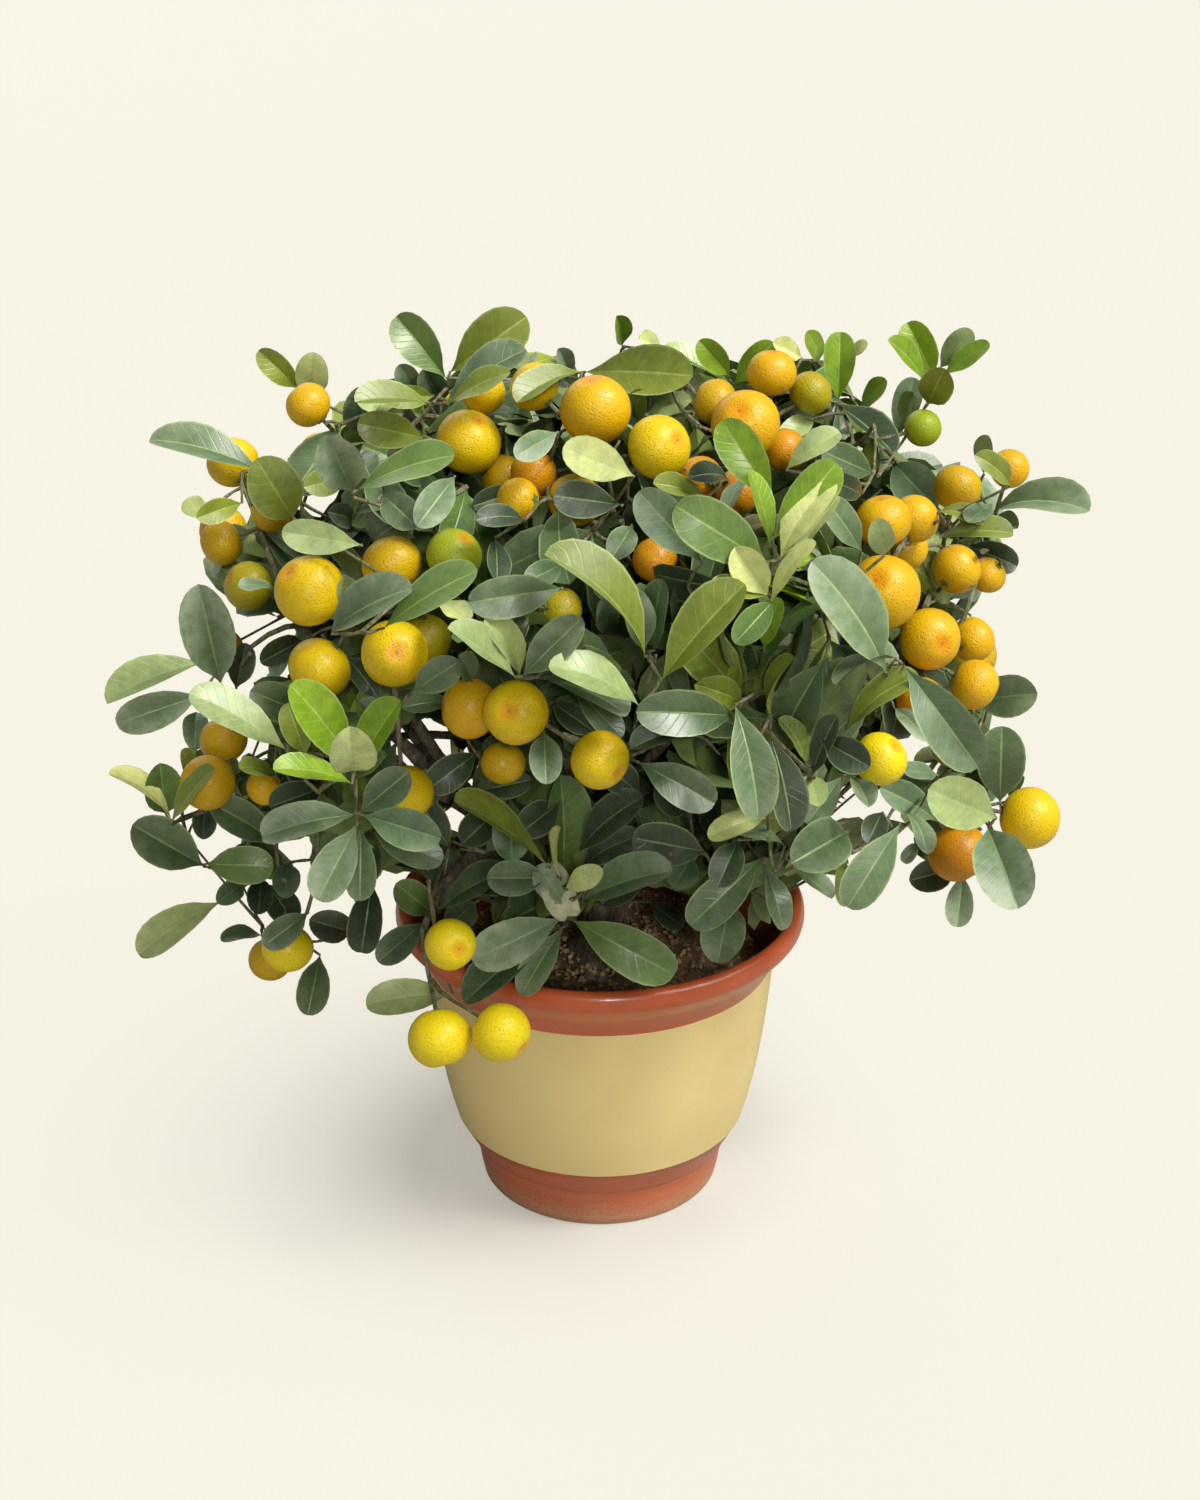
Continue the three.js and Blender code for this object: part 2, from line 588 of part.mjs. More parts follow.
  const own = targets.filter((target) => nearestHeart(target.place) === index);
  own.sort((a, b) => b.size - a.size || a.place.distanceTo(heart) - b.place.distanceTo(heart));
  const shoots = [];
  for (const { place, size, standsOut } of own) {
    const centre = place.clone();
    const reach = size / 2 + WALL_CLEARANCE;
    for (let push = 0; push < FRUIT_PUSHES && depthInside(centre, index) < reach; push++) {
      centre.lerp(heart, FRUIT_PUSH);
    }
    if (size > 0 && (inFruit(centre, size / 2) || nearTwig(centre, size / 2 + 1))) continue;
    const joint = jointFor(centre, size);
    if (!joint) continue;
    const stalk = joint.place.clone().sub(centre).normalize();
    const end = centre.clone().addScaledVector(stalk, size * STALK_DEPTH);
    const direction = addTwig(joint, end);
    if (size > 0) {
      pieces.push(fruit(centre, stalk, size));
      fruits.push({ place: centre, size });
      const tip = centre.clone().addScaledVector(stalk, size / 2 + FRUIT_LEAF_SPACING);
      shoots.push({ end: tip, direction, count: LEAVES_BY_FRUIT });
    } else {
      shoots.push({ end, direction, count: LEAVES_ON_SHOOT, standsOut });
    }
  }
  for (const { end, direction, count, standsOut } of shoots) addLeaves(end, direction, count, standsOut);
  return mainShell(wasm.Manifold.union(pieces).simplify(MERGE_DISTANCE));
}

// The whole plant in its pot

const plant = new THREE.Group();

function addMesh(name, body, finish) {
  const mesh = new THREE.Mesh(geometryOf(body), finish);
  mesh.name = name;
  plant.add(mesh);
}

addMesh('pot', pot(), TERRACOTTA);
addMesh('soil', soil(), SOIL_BROWN);
for (const limb of wood) addMesh(limb.name, limb.body, BARK);
const targets = crownTargets();
const random = seeded(11);
MASSES.forEach(([name], index) => addMesh(`mass_${name}`, growMass(index, targets, random), FOLIAGE));

export default plant;
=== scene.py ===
import math
import random

import bmesh
import bpy
import numpy as np
from mathutils import Matrix, Vector, noise


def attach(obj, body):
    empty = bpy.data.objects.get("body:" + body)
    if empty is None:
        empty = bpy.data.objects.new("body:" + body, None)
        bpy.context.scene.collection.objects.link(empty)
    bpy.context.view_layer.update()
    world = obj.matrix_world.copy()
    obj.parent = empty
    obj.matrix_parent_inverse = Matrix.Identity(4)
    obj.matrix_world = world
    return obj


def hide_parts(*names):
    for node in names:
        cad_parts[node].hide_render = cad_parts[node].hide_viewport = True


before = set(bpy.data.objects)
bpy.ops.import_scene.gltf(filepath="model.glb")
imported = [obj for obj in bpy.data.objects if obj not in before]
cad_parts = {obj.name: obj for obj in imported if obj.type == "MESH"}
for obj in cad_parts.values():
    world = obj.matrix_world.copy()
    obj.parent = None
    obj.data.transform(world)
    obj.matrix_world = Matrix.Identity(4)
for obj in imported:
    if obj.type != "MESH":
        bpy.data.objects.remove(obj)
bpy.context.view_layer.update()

bl_info = {
    "name": "Potted Kumquat",
    "version": (1, 0, 0),
    "blender": (4, 5, 0),
    "location": "View3D > Sidebar > Kumquat",
    "description": "A four seasons kumquat bush with fruit, in a lipped plastic pot",
    "category": "Object",
}

# Lengths below are millimetres, as on the solids; a mesh is in metres
MM = 0.001
UP = np.array([0.0, 0.0, 1.0])
GOLDEN_ANGLE = math.pi * (3 - math.sqrt(5))
SEEDS = {"solids": 7, "kinds": 3, "back fruit": 19, "crown": 5, "crumbs": 21, "limbs": 17, "twigs": 29,
         "leaves": 41, "fruit": 53, "buds": 61}

# Pot: [radius, height], from the foot up the outside and from the lip down the inside
POT_SIDES = 144
POT_OUTSIDE = [
    (60, 0), (61.7, 0.4), (62.5, 1.6), (63.4, 6), (64.7, 14), (65.8, 21), (66.2, 22.6),
    (67.3, 23.2), (68.1, 24.4), (69.7, 27.6), (72.7, 32.8), (75.9, 38.9), (76.2, 39.1),
    (78.9, 49), (81.6, 61), (83.9, 74), (85.9, 88), (87.5, 102), (88.9, 116), (89.9, 128.8),
    (89.7, 129.1), (90.6, 131.2), (92.4, 134.6), (94.4, 138), (96.3, 140.9), (98.1, 143.1),
    (99, 143.9), (100.1, 145.2), (101.6, 147.1), (103.3, 148.9), (104.4, 150.6), (104.95, 152.6),
    (105, 154.4), (104.7, 156.4), (103.9, 158.2), (102.6, 159.4), (101, 160), (99.6, 159.8),
]
POT_INSIDE = [
    (98.5, 159), (97.7, 157.6), (97.1, 155), (95.8, 150), (93.6, 142), (91, 135.5), (88.2, 130),
    (86.2, 126), (84, 106), (79.5, 66), (69, 34), (61.5, 22), (60, 4),
]
BAND_EDGES = (39.0, 129.0)
LINING_EDGES = (4.2, 156)
LINING_SLACK = 0.8
LINED_FLOOR = (55, 3.9)
DRAIN_HOLES = 4
DRAIN_RADIUS = 5
DRAIN_RING = 38
DRAIN_DEPTH = 16

# Soil
SOIL_FLOOR = 4.4
SOIL_SIDE = [(59.6, SOIL_FLOOR), (61.1, 22), (68.6, 34), (79.1, 66), (84.6, 121)]
SOIL_RISE = [(1.0, 121), (0.75, 126), (0.5, 128), (0.25, 129.5), (0.0, 130.5)]
SOIL_SIDES = 120
SOIL_RINGS = 26
SOIL_LUMP = 2.6
SOIL_GRIT = 0.7
CRUMB_COUNT = 2700
CRUMB_SIZE = (0.9, 3.6)
CRUMB_SPREAD = 0.985
CRUMB_FREE = 15
CRUMB_WEIGHTS = (4, 4, 3)

# Trunk: it leans a little to the front and right
TRUNK_FOOT = np.array([0, 0, 130.3])
TRUNK_TOP = np.array([5.0, -4.0, 182.0])
TRUNK_RINGS = [
    (-0.14, 21), (0, 17.6), (0.05, 15.6), (0.12, 13.6), (0.25, 12), (0.42, 11.3), (0.6, 10.8),
    (0.8, 10.2), (1, 9.6), (1.06, 7),
]
TRUNK_RADII = (14.5, 9.6)
TRUNK_STEPS = 4
FLARE_ROOTS = 5
FLARE_DEPTH = 0.2
BARK_VOXEL = 1.05
BARK_LUMP = 0.5
BARK_FISSURE = 1.1

# Main limbs: [name, where it leaves the trunk, tip, radius at its foot, radius at its tip]
LIMBS = [
    ("leader", 1, (-2, 2, 292), 7.5, 4.6),
    ("limb_left", 0.62, (-92, -20, 238), 6.6, 4.2),
    ("limb_right", 0.74, (92, -18, 244), 6.6, 4.2),
    ("limb_front", 0.68, (-6, -62, 238), 6, 4),
    ("limb_back", 0.86, (2, 84, 236), 6.4, 4.2),
]
LIMB_STEPS = 4
LIMB_BEND = 0.45
LIMB_RISE = 0.35

# Masses: [name, heart, limb that carries its bough, where on that limb the bough leaves]
MASSES = [
    ("top_left", (-90, -32, 380), "leader", 0.7),
    ("top_middle", (6, -56, 386), "leader", 0.96),
    ("top_right", (80, -10, 390), "leader", 0.8),
    ("top_back_left", (-58, 84, 382), "leader", 0.88),
    ("top_back_right", (66, 92, 378), "leader", 0.62),
    ("left", (-150, -14, 326), "limb_left", 0.8),
    ("front_left", (-96, -88, 328), "limb_left", 0.62),
    ("front", (-24, -112, 308), "limb_front", 0.96),
    ("front_right", (66, -104, 328), "limb_front", 0.72),
    ("right", (144, -54, 328), "limb_right", 0.84),
    ("back_right", (146, 84, 304), "limb_back", 0.6),
    ("back", (2, 138, 308), "limb_back", 0.96),
    ("back_left", (-146, 84, 304), "limb_left", 0.7),
    ("low_left", (-164, -36, 222), "limb_left", 0.96),
    ("low_front_left", (-84, -100, 192), "limb_left", 0.5),
    ("low_front", (8, -108, 224), "limb_front", 0.84),
    ("low_front_right", (98, -92, 246), "limb_right", 0.66),
    ("low_right", (160, -26, 228), "limb_right", 0.96),
    ("low_back_right", (112, 106, 212), "limb_back", 0.74),
    ("low_back", (-16, 142, 206), "limb_back", 0.84),
    ("low_back_left", (-122, 92, 208), "limb_back", 0.5),
]
BOUGH_BEND = 0.4
BOUGH_SWEEP = 0.16
BOUGH_RADII = (3.8, 2.5)
BOUGH_STEPS = 3
STEM_LENGTH = 28
STEM_FOOT = 0.3  # clearance between a bough's tip and its mass's stem
STEM_TIP_RADIUS = 1.7
STEM_STEPS = (0.35, 0.7, 1.0)
LIMB_SWAY = (16, 1.8)
BOUGH_SWAY = (12, 1.2)
WOOD_NODES = ["trunk"] + [row[0] for row in LIMBS] + ["bough_" + row[0] for row in MASSES]
MASS_NODES = ["mass_" + row[0] for row in MASSES]

# Crown
CROWN_MIDDLE = np.array([-4.0, 0.0, 295.0])
CROWN_REACH = np.array([240.0, 218.0, 164.0])
CROWN_ROUNDNESS = 2.7
CROWN_TOP = 462
CROWN_BOTTOM = 130
CROWN_HEIGHT = 330
INSIDE_SHARE = 0.72
FRONT_Y = 20
SEEN_BACK = -60
SHOOT_DEPTH = (0.756, 0.857)
SHOOT_COUNT = 136
SHOOT_SPACING = 27
UNDERSIDE_HEIGHT = -0.35
UNDERSIDE_RADIUS = 135
OPEN_PLACES = np.array([
    [-165, -70, 300, 20], [-120, -90, 215, 26], [-118, -110, 165, 22], [125, -90, 205, 30],
    [-230, -30, 330, 20], [195, -60, 255, 16],
], float)

# Fruit that shows: [x, y, z, diameter, how ripe it is]
FRUIT = [
    (-135, -20, 425, 21, "amber"), (-184, 8, 348, 22, "gold"), (-158, 5, 365, 21, "gold"),
    (-168, -20, 336, 24, "olive"), (-128, -105, 365, 32, "yellow"), (-126, -100, 326, 29, "yellow"),
    (-90, -122, 342, 30, "yellow"), (-60, -42, 414, 30, "yellow"), (-54, -20, 431, 21, "yellow"),
    (-30, -32, 437, 23, "yellow"), (-2, -60, 434, 32, "amber"), (26, -80, 423, 29, "yellow"),
    (-30, -62, 405, 22, "orange"), (54, -5, 422, 22, "gold"), (66, -45, 423, 32, "amber"),
    (80, -5, 436, 23, "amber"), (99, 0, 425, 21, "olive"), (-64, -104, 381, 25, "green"),
    (154, 10, 405, 18, "green"), (195, 0, 388, 19, "amber"), (170, -5, 380, 23, "gold"),
    (128, -66, 384, 26, "amber"), (145, -45, 378, 23, "amber"), (127, -88, 358, 34, "amber"),
    (171, -10, 341, 24, "amber"), (151, -74, 330, 29, "amber"), (178, -30, 312, 21, "amber"),
    (176, -56, 300, 24, "amber"), (127, -108, 285, 25, "lemon"), (212, -30, 218, 31, "yellow"),
    (176, -40, 204, 30, "orange"), (-36, -155, 328, 28, "yellow"), (-57, -134, 321, 27, "amber"),
    (-43, -130, 293, 20, "gold"), (0, -158, 307, 26, "yellow"), (-88, -125, 276, 27, "yellow"),
    (-183, -30, 260, 24, "gold"), (-187, -60, 251, 27, "gold"), (-162, -48, 243, 18, "amber"),
    (-69, -125, 199, 24, "lemon"), (-75, -125, 149, 30, "lemon"), (-46, -130, 155, 28, "lemon"),
    (-154, -56, 159, 26, "lemon"), (-166, -36, 142, 22, "gold"),
]
STALK_DEPTH = 0.4
FRUIT_SQUASH = (0.9, 0.98)
FRUIT_ENDS = ((-1, 0.11, 0.42), (1, 0.09, 0.36))  # side, depth and reach of its navel and dimple
CALYX_RADIUS = (2.6, 3.4)
HIDDEN_FRUIT_SHARE = 0.15
HIDDEN_FRUIT_SIZE = (21, 30)
HIDDEN_FRUIT_BACK = 30
HIDDEN_FRUIT_SIDE = 220
BACK_FRUIT_COUNT = 110
BACK_FRUIT_TURN = -0.45
BACK_FRUIT_DEPTH = (0.8, 0.88)
BACK_FRUIT_SPACING = 24
HIDDEN_RIPENESS = ["amber", "yellow", "gold", "amber", "orange"]

# Shoots that stand out of the crown: [x, y, z of the tip, kind of leaf]
SHOOTS = [
    (-133, -20, 440, "olive"), (-68, -38, 440, "mid"), (-110, -95, 405, "old"),
    (-168, -25, 398, "old"), (-182, -55, 305, "old"), (-175, -20, 374, "mid"),
    (-84, -122, 370, "old"), (-34, -140, 352, "old"), (74, -135, 385, "young"),
    (155, 10, 420, "young"), (112, 8, 424, "mid"), (30, 12, 432, "mid"), (195, 0, 340, "old"),
    (124, -104, 333, "old"), (-110, -120, 292, "young"), (-150, -90, 285, "olive"),
    (-205, -48, 226, "olive"), (-186, -55, 190, "old"), (-152, -62, 178, "old"),
    (-14, -116, 216, "olive"), (-80, -104, 222, "old"), (-72, -122, 172, "old"),
    (62, -145, 328, "olive"), (190, -46, 230, "old"), (160, -84, 345, "old"),
    (134, -58, 216, "old"), (50, -116, 246, "old"), (94, -92, 226, "olive"),
    (0, -110, 258, "dark"), (40, -125, 272, "old"), (18, -140, 300, "old"),
    (-66, -105, 240, "dark"), (-30, -130, 368, "mid"), (-4, -100, 390, "old"),
    (44, -138, 366, "old"), (110, -110, 356, "old"), (-80, -90, 395, "old"),
    (113, -85, 238, "dusty"), (22, -118, 196, "dusty"), (6, -22, 420, "mid"),
    (-24, -92, 404, "old"), (44, -22, 416, "old"), (-60, -60, 398, "mid"),
]

# Twigs: the rule that the solids are grown by
TWIG_MARGIN = 2
STEM_JOINTS = (0.5, 0.72, 0.94)
TWIG_JOINTS = (0.6, 0.94)
TURN_COST = 0.6
JOINT_REACH = 12
JOINT_TRIES = 14
NEAR_JOINT = 20
SHORTEST_STALK = 1.5
TWIG_SPACING = 4
SAMPLE_STEP = 3
WALL_CLEARANCE = 0.4
LIMB_CLEARANCE = 1
POT_CLEARANCE = 3
RIM_RADIUS = 105 + POT_CLEARANCE
RIM_HEIGHT = 160 + POT_CLEARANCE
POT_LINING_RADIUS = 82
POT_WALL = (84, 107)
POT_WALL_TOP = 162
SOIL_TOP = 133

# Finer shoots, which fill the crown between those above: [count, least and most depth, spacing]
FINER_SHELLS = [(640, 0.74, 0.9, 17), (400, 0.52, 0.7, 19), (150, 0.3, 0.5, 26)]
FINER_TWIG_SPACING = 2.5
SHELL_JITTER = 5
SHELL_BOTTOM = -0.55
FRUIT_CLEARANCE = 5
SKIRT = [(-120, 120), (-135, 10), (166, 236)]
SKIRT_COUNT = 500
SKIRT_SPACING = 16
TWIG_RADII = (1.3, 0.85)
FINER_RADII = (0.9, 0.6)
TWIG_BOW = 0.035
TWIG_PUSH = 60

# Leaves: [share of the length, half width as a share of the greatest]
LEAF_OUTLINE = [
    (0, 0.1), (0.1, 0.13), (0.23, 0.5), (0.42, 0.87), (0.62, 1), (0.8, 0.9), (0.945, 0.55), (1, 0.1),
]
SEEN_LEAF_OUTLINE = [
    (0, 0.08), (0.07, 0.1), (0.15, 0.26), (0.26, 0.56), (0.4, 0.84), (0.54, 0.97), (0.67, 1),
    (0.79, 0.93), (0.885, 0.76), (0.95, 0.53), (0.987, 0.29), (1, 0.06),
]
LEAF_MARGIN = 0.92
LEAF_RIB = 0.045
LEAF_THICKNESS = 0.45
LEAF_LENGTH = (42, 56)
TIP_LEAF_SHARE = 0.78
YOUNG_LEAF_SHARE = 0.9
TIP_LEAVES = 4
LEAF_STEPS = ((2, 4), (6, 10))
LEAF_SPREAD = (34, 11, 78)
LEAF_SPREAD_CHANGE = (-8, 14)
LEAF_RISE = (0.3, 0.9)
LEAF_GAP = 1.6
LEAF_CLEARANCE = 0.6
LEAF_FREE = 8
LEAF_OUTER = 13
LEAF_TURNS = 7
LEAF_CELL = 4
LEAF_WELD = 0.001
LEAF_OVERLAP = 6 - WALL_CLEARANCE
LEAF_RIPPLES = 9
BLADE_TOUCH = 0.01
SAMPLED_LENGTH = (0.16, 0.97)
OUTSTANDING_REACH = 1.3
BUD_SHARE = 0.16
BUD_LENGTH = (1.6, 2.6)
BUD_SLIMNESS = 0.62

# How leaves differ, on shoots and where they are seen: each mark is drawn between two ends in this
# order, turns are in degrees, and a dry leaf that is seen has some marks of its own
SHOOT_LEAF = {
    "width": (0.43, 0.53), "fold": (6, 26), "curl": (12, 62), "twist": (-22, 22),
    "wave": (0.1, 0.9), "phase": (0, 6), "tone": (-0.25, 0.25), "film": (0.1, 1),
}
SEEN_LEAF = {
    "fold": (10, 32), "curl": (16, 62), "twist": (-10, 10), "wave": (0.2, 1.0), "phase": (0, 6),
    "tone": (0.2, 0.8), "film": (0.3, 1),
}
DRY_LEAF = {"fold": 38, "curl": 150, "wave": 3}

# Kinds of leaf: how strong the bloom is, partly dust and partly painted sheen, and how rough
LEAF_LOOKS = {
    "old": (0.6, 0.3), "dusty": (1.0, 0.38), "dark": (0.25, 0.32), "mid": (0.25, 0.3),
    "olive": (0.2, 0.34), "young": (0.05, 0.28), "light": (0.3, 0.34), "pale": (0.08, 0.34),
    "dry": (0.4, 0.8),
}
LEAF_KINDS = list(LEAF_LOOKS)

# Colours of the peel by ripeness, plain and blushed
RIPENESS = {
    "orange": ("D4940A", "D07A08"), "amber": ("E0B40A", "DC9C0C"), "yellow": ("E6C80A", "E2B00C"),
    "lemon": ("F2DC14", "F2CA12"), "gold": ("CFAB0A", "CC980A"), "olive": ("A8A012", "B6980E"),
    "green": ("98A81A", "A8AC1C"),
}

# Looks: heights and spans of the marks on the pot, and colours that stay as they are
SCUFF_HEIGHT = 48
CHALK_HEIGHT = 17
# Ragged height of the edge, and the span, of the inner wall's darkening, which is partly soil stain and
# partly painted shade
RAGGED_EDGE_HEIGHT = 14
STAIN_AND_SHADE_SPAN = 200
# Dark and light ends of a leaf's tone, which is random and also holds the painted shade on one half
LEAF_DEEP = (0.44, 0.54, 0.56)
LEAF_FAIR = (1.42, 1.36, 1.2)
VEIN_ROWS = 10.0
# Pale colour of the leaf bloom, partly dust and partly painted sheen
BLOOM_AND_SHEEN_COLOUR = (0.76, 0.8, 0.7)
NAVEL_BLUSH = (0.93, 0.5, 0.05)
NAVEL_SCAR = (0.5, 0.36, 0.12)
CALYX_COLOUR = (0.42, 0.5, 0.24)

# Stage: the floor's shadow by distance from the pot, and the lamps, each with its name, where it
# shines from, its strength and its spread in degrees
SHADOW_SPAN = 400
SHADOW_FADE = ((0.25, 1), (0.375, 0.5), (0.5, 0.21), (0.62, 0.1), (0.8, 0.03))
FLOOR_LIT = (0.45, 0.465, 0.49)
FLOOR_BOUNCE = 0.36
SKY_COLOUR = (1.0, 0.99, 0.97)
SKY_STRENGTH = 0.23
LAMP_COLOUR = (1, 0.975, 0.925)
LAMPS = [
    ("key", (0.56, -0.22, 0.8), 2.6, 42), ("sun", (0.52, -0.27, 0.81), 1.5, 12),
    ("front", (0.1, -0.9, 0.43), 0.75, 8), ("back", (-0.35, 0.8, 0.45), 0.5, 40),
]

# The side that is seen first: where the eye stands, how far down it looks, and the size of its
# picture in pixels. Below, a place in that picture is written as x and y in its pixels.
EYE = np.array([0.0, -1120.0, 740.0])
EYE_TILT = math.radians(24)
PICTURE = (1200, 1500)
PICTURE_SCALE = 2450
PICTURE_CELL = 4
SENSOR = 36
SIGHT_STEPS = (860, 1320, 3.0)
SIGHT_CLEARANCE = 3
SPREAD = (9, 2.5)
LAYER_SHARES = (0.74, 0.86, 0.96, 1.03)
LAYER_STEP = 13
MIDDLE_LAYER = 1.5
SEEN_GROWTH = 1.04
SEEN_DEPTHS = (-0.06, 0.03)
SEEN_LENGTH_SHARE = 1.8
SEEN_LENGTH = 26
SEEN_SLIVER = 15
SEEN_WIDTH_SHARE = 0.42
FORESHORTENED = 0.7
SEEN_STEP = 2.5
SEEN_TRIES = 16
FRONT_REACH = (100, 178)
FRONT_HEIGHTS = (180, 310)
NEAREST_Y = -226

# Where leaves close the crown in that picture, and round gaps in it: [x, y, radius]
CLOSED_CROWN = [
    (285, 455), (300, 432), (345, 388), (395, 375), (420, 365), (452, 372), (520, 345), (560, 352),
    (590, 362), (640, 342), (700, 350), (745, 345), (800, 358), (845, 370), (870, 400), (885, 440),
    (905, 452), (940, 455), (985, 470), (1005, 500), (1010, 560), (975, 600), (985, 640),
    (988, 690), (1000, 730), (1015, 790), (1000, 840), (960, 870), (915, 862), (905, 830),
    (880, 850), (850, 880), (800, 880), (782, 915), (735, 945), (700, 925), (668, 900), (610, 900),
    (575, 930), (540, 955), (505, 980), (475, 985), (452, 960), (430, 930), (395, 945), (385, 915),
    (378, 940), (345, 945), (322, 935), (300, 925), (262, 922), (225, 895), (200, 862), (150, 842),
    (142, 810), (172, 790), (190, 750), (205, 735), (255, 740), (262, 720), (248, 690), (262, 665),
    (300, 640), (290, 620), (230, 612), (200, 560), (205, 530), (250, 520), (262, 490),
]
GAPS = [
    (318, 497, 20), (258, 752, 10), (418, 745, 24), (437, 733, 10), (298, 848, 14), (335, 885, 18),
    (280, 918, 10), (228, 838, 14), (392, 890, 16), (395, 960, 18), (455, 818, 10), (470, 802, 8),
    (855, 800, 18), (885, 802, 14), (875, 860, 18), (918, 750, 18), (938, 728, 12), (300, 660, 8),
]

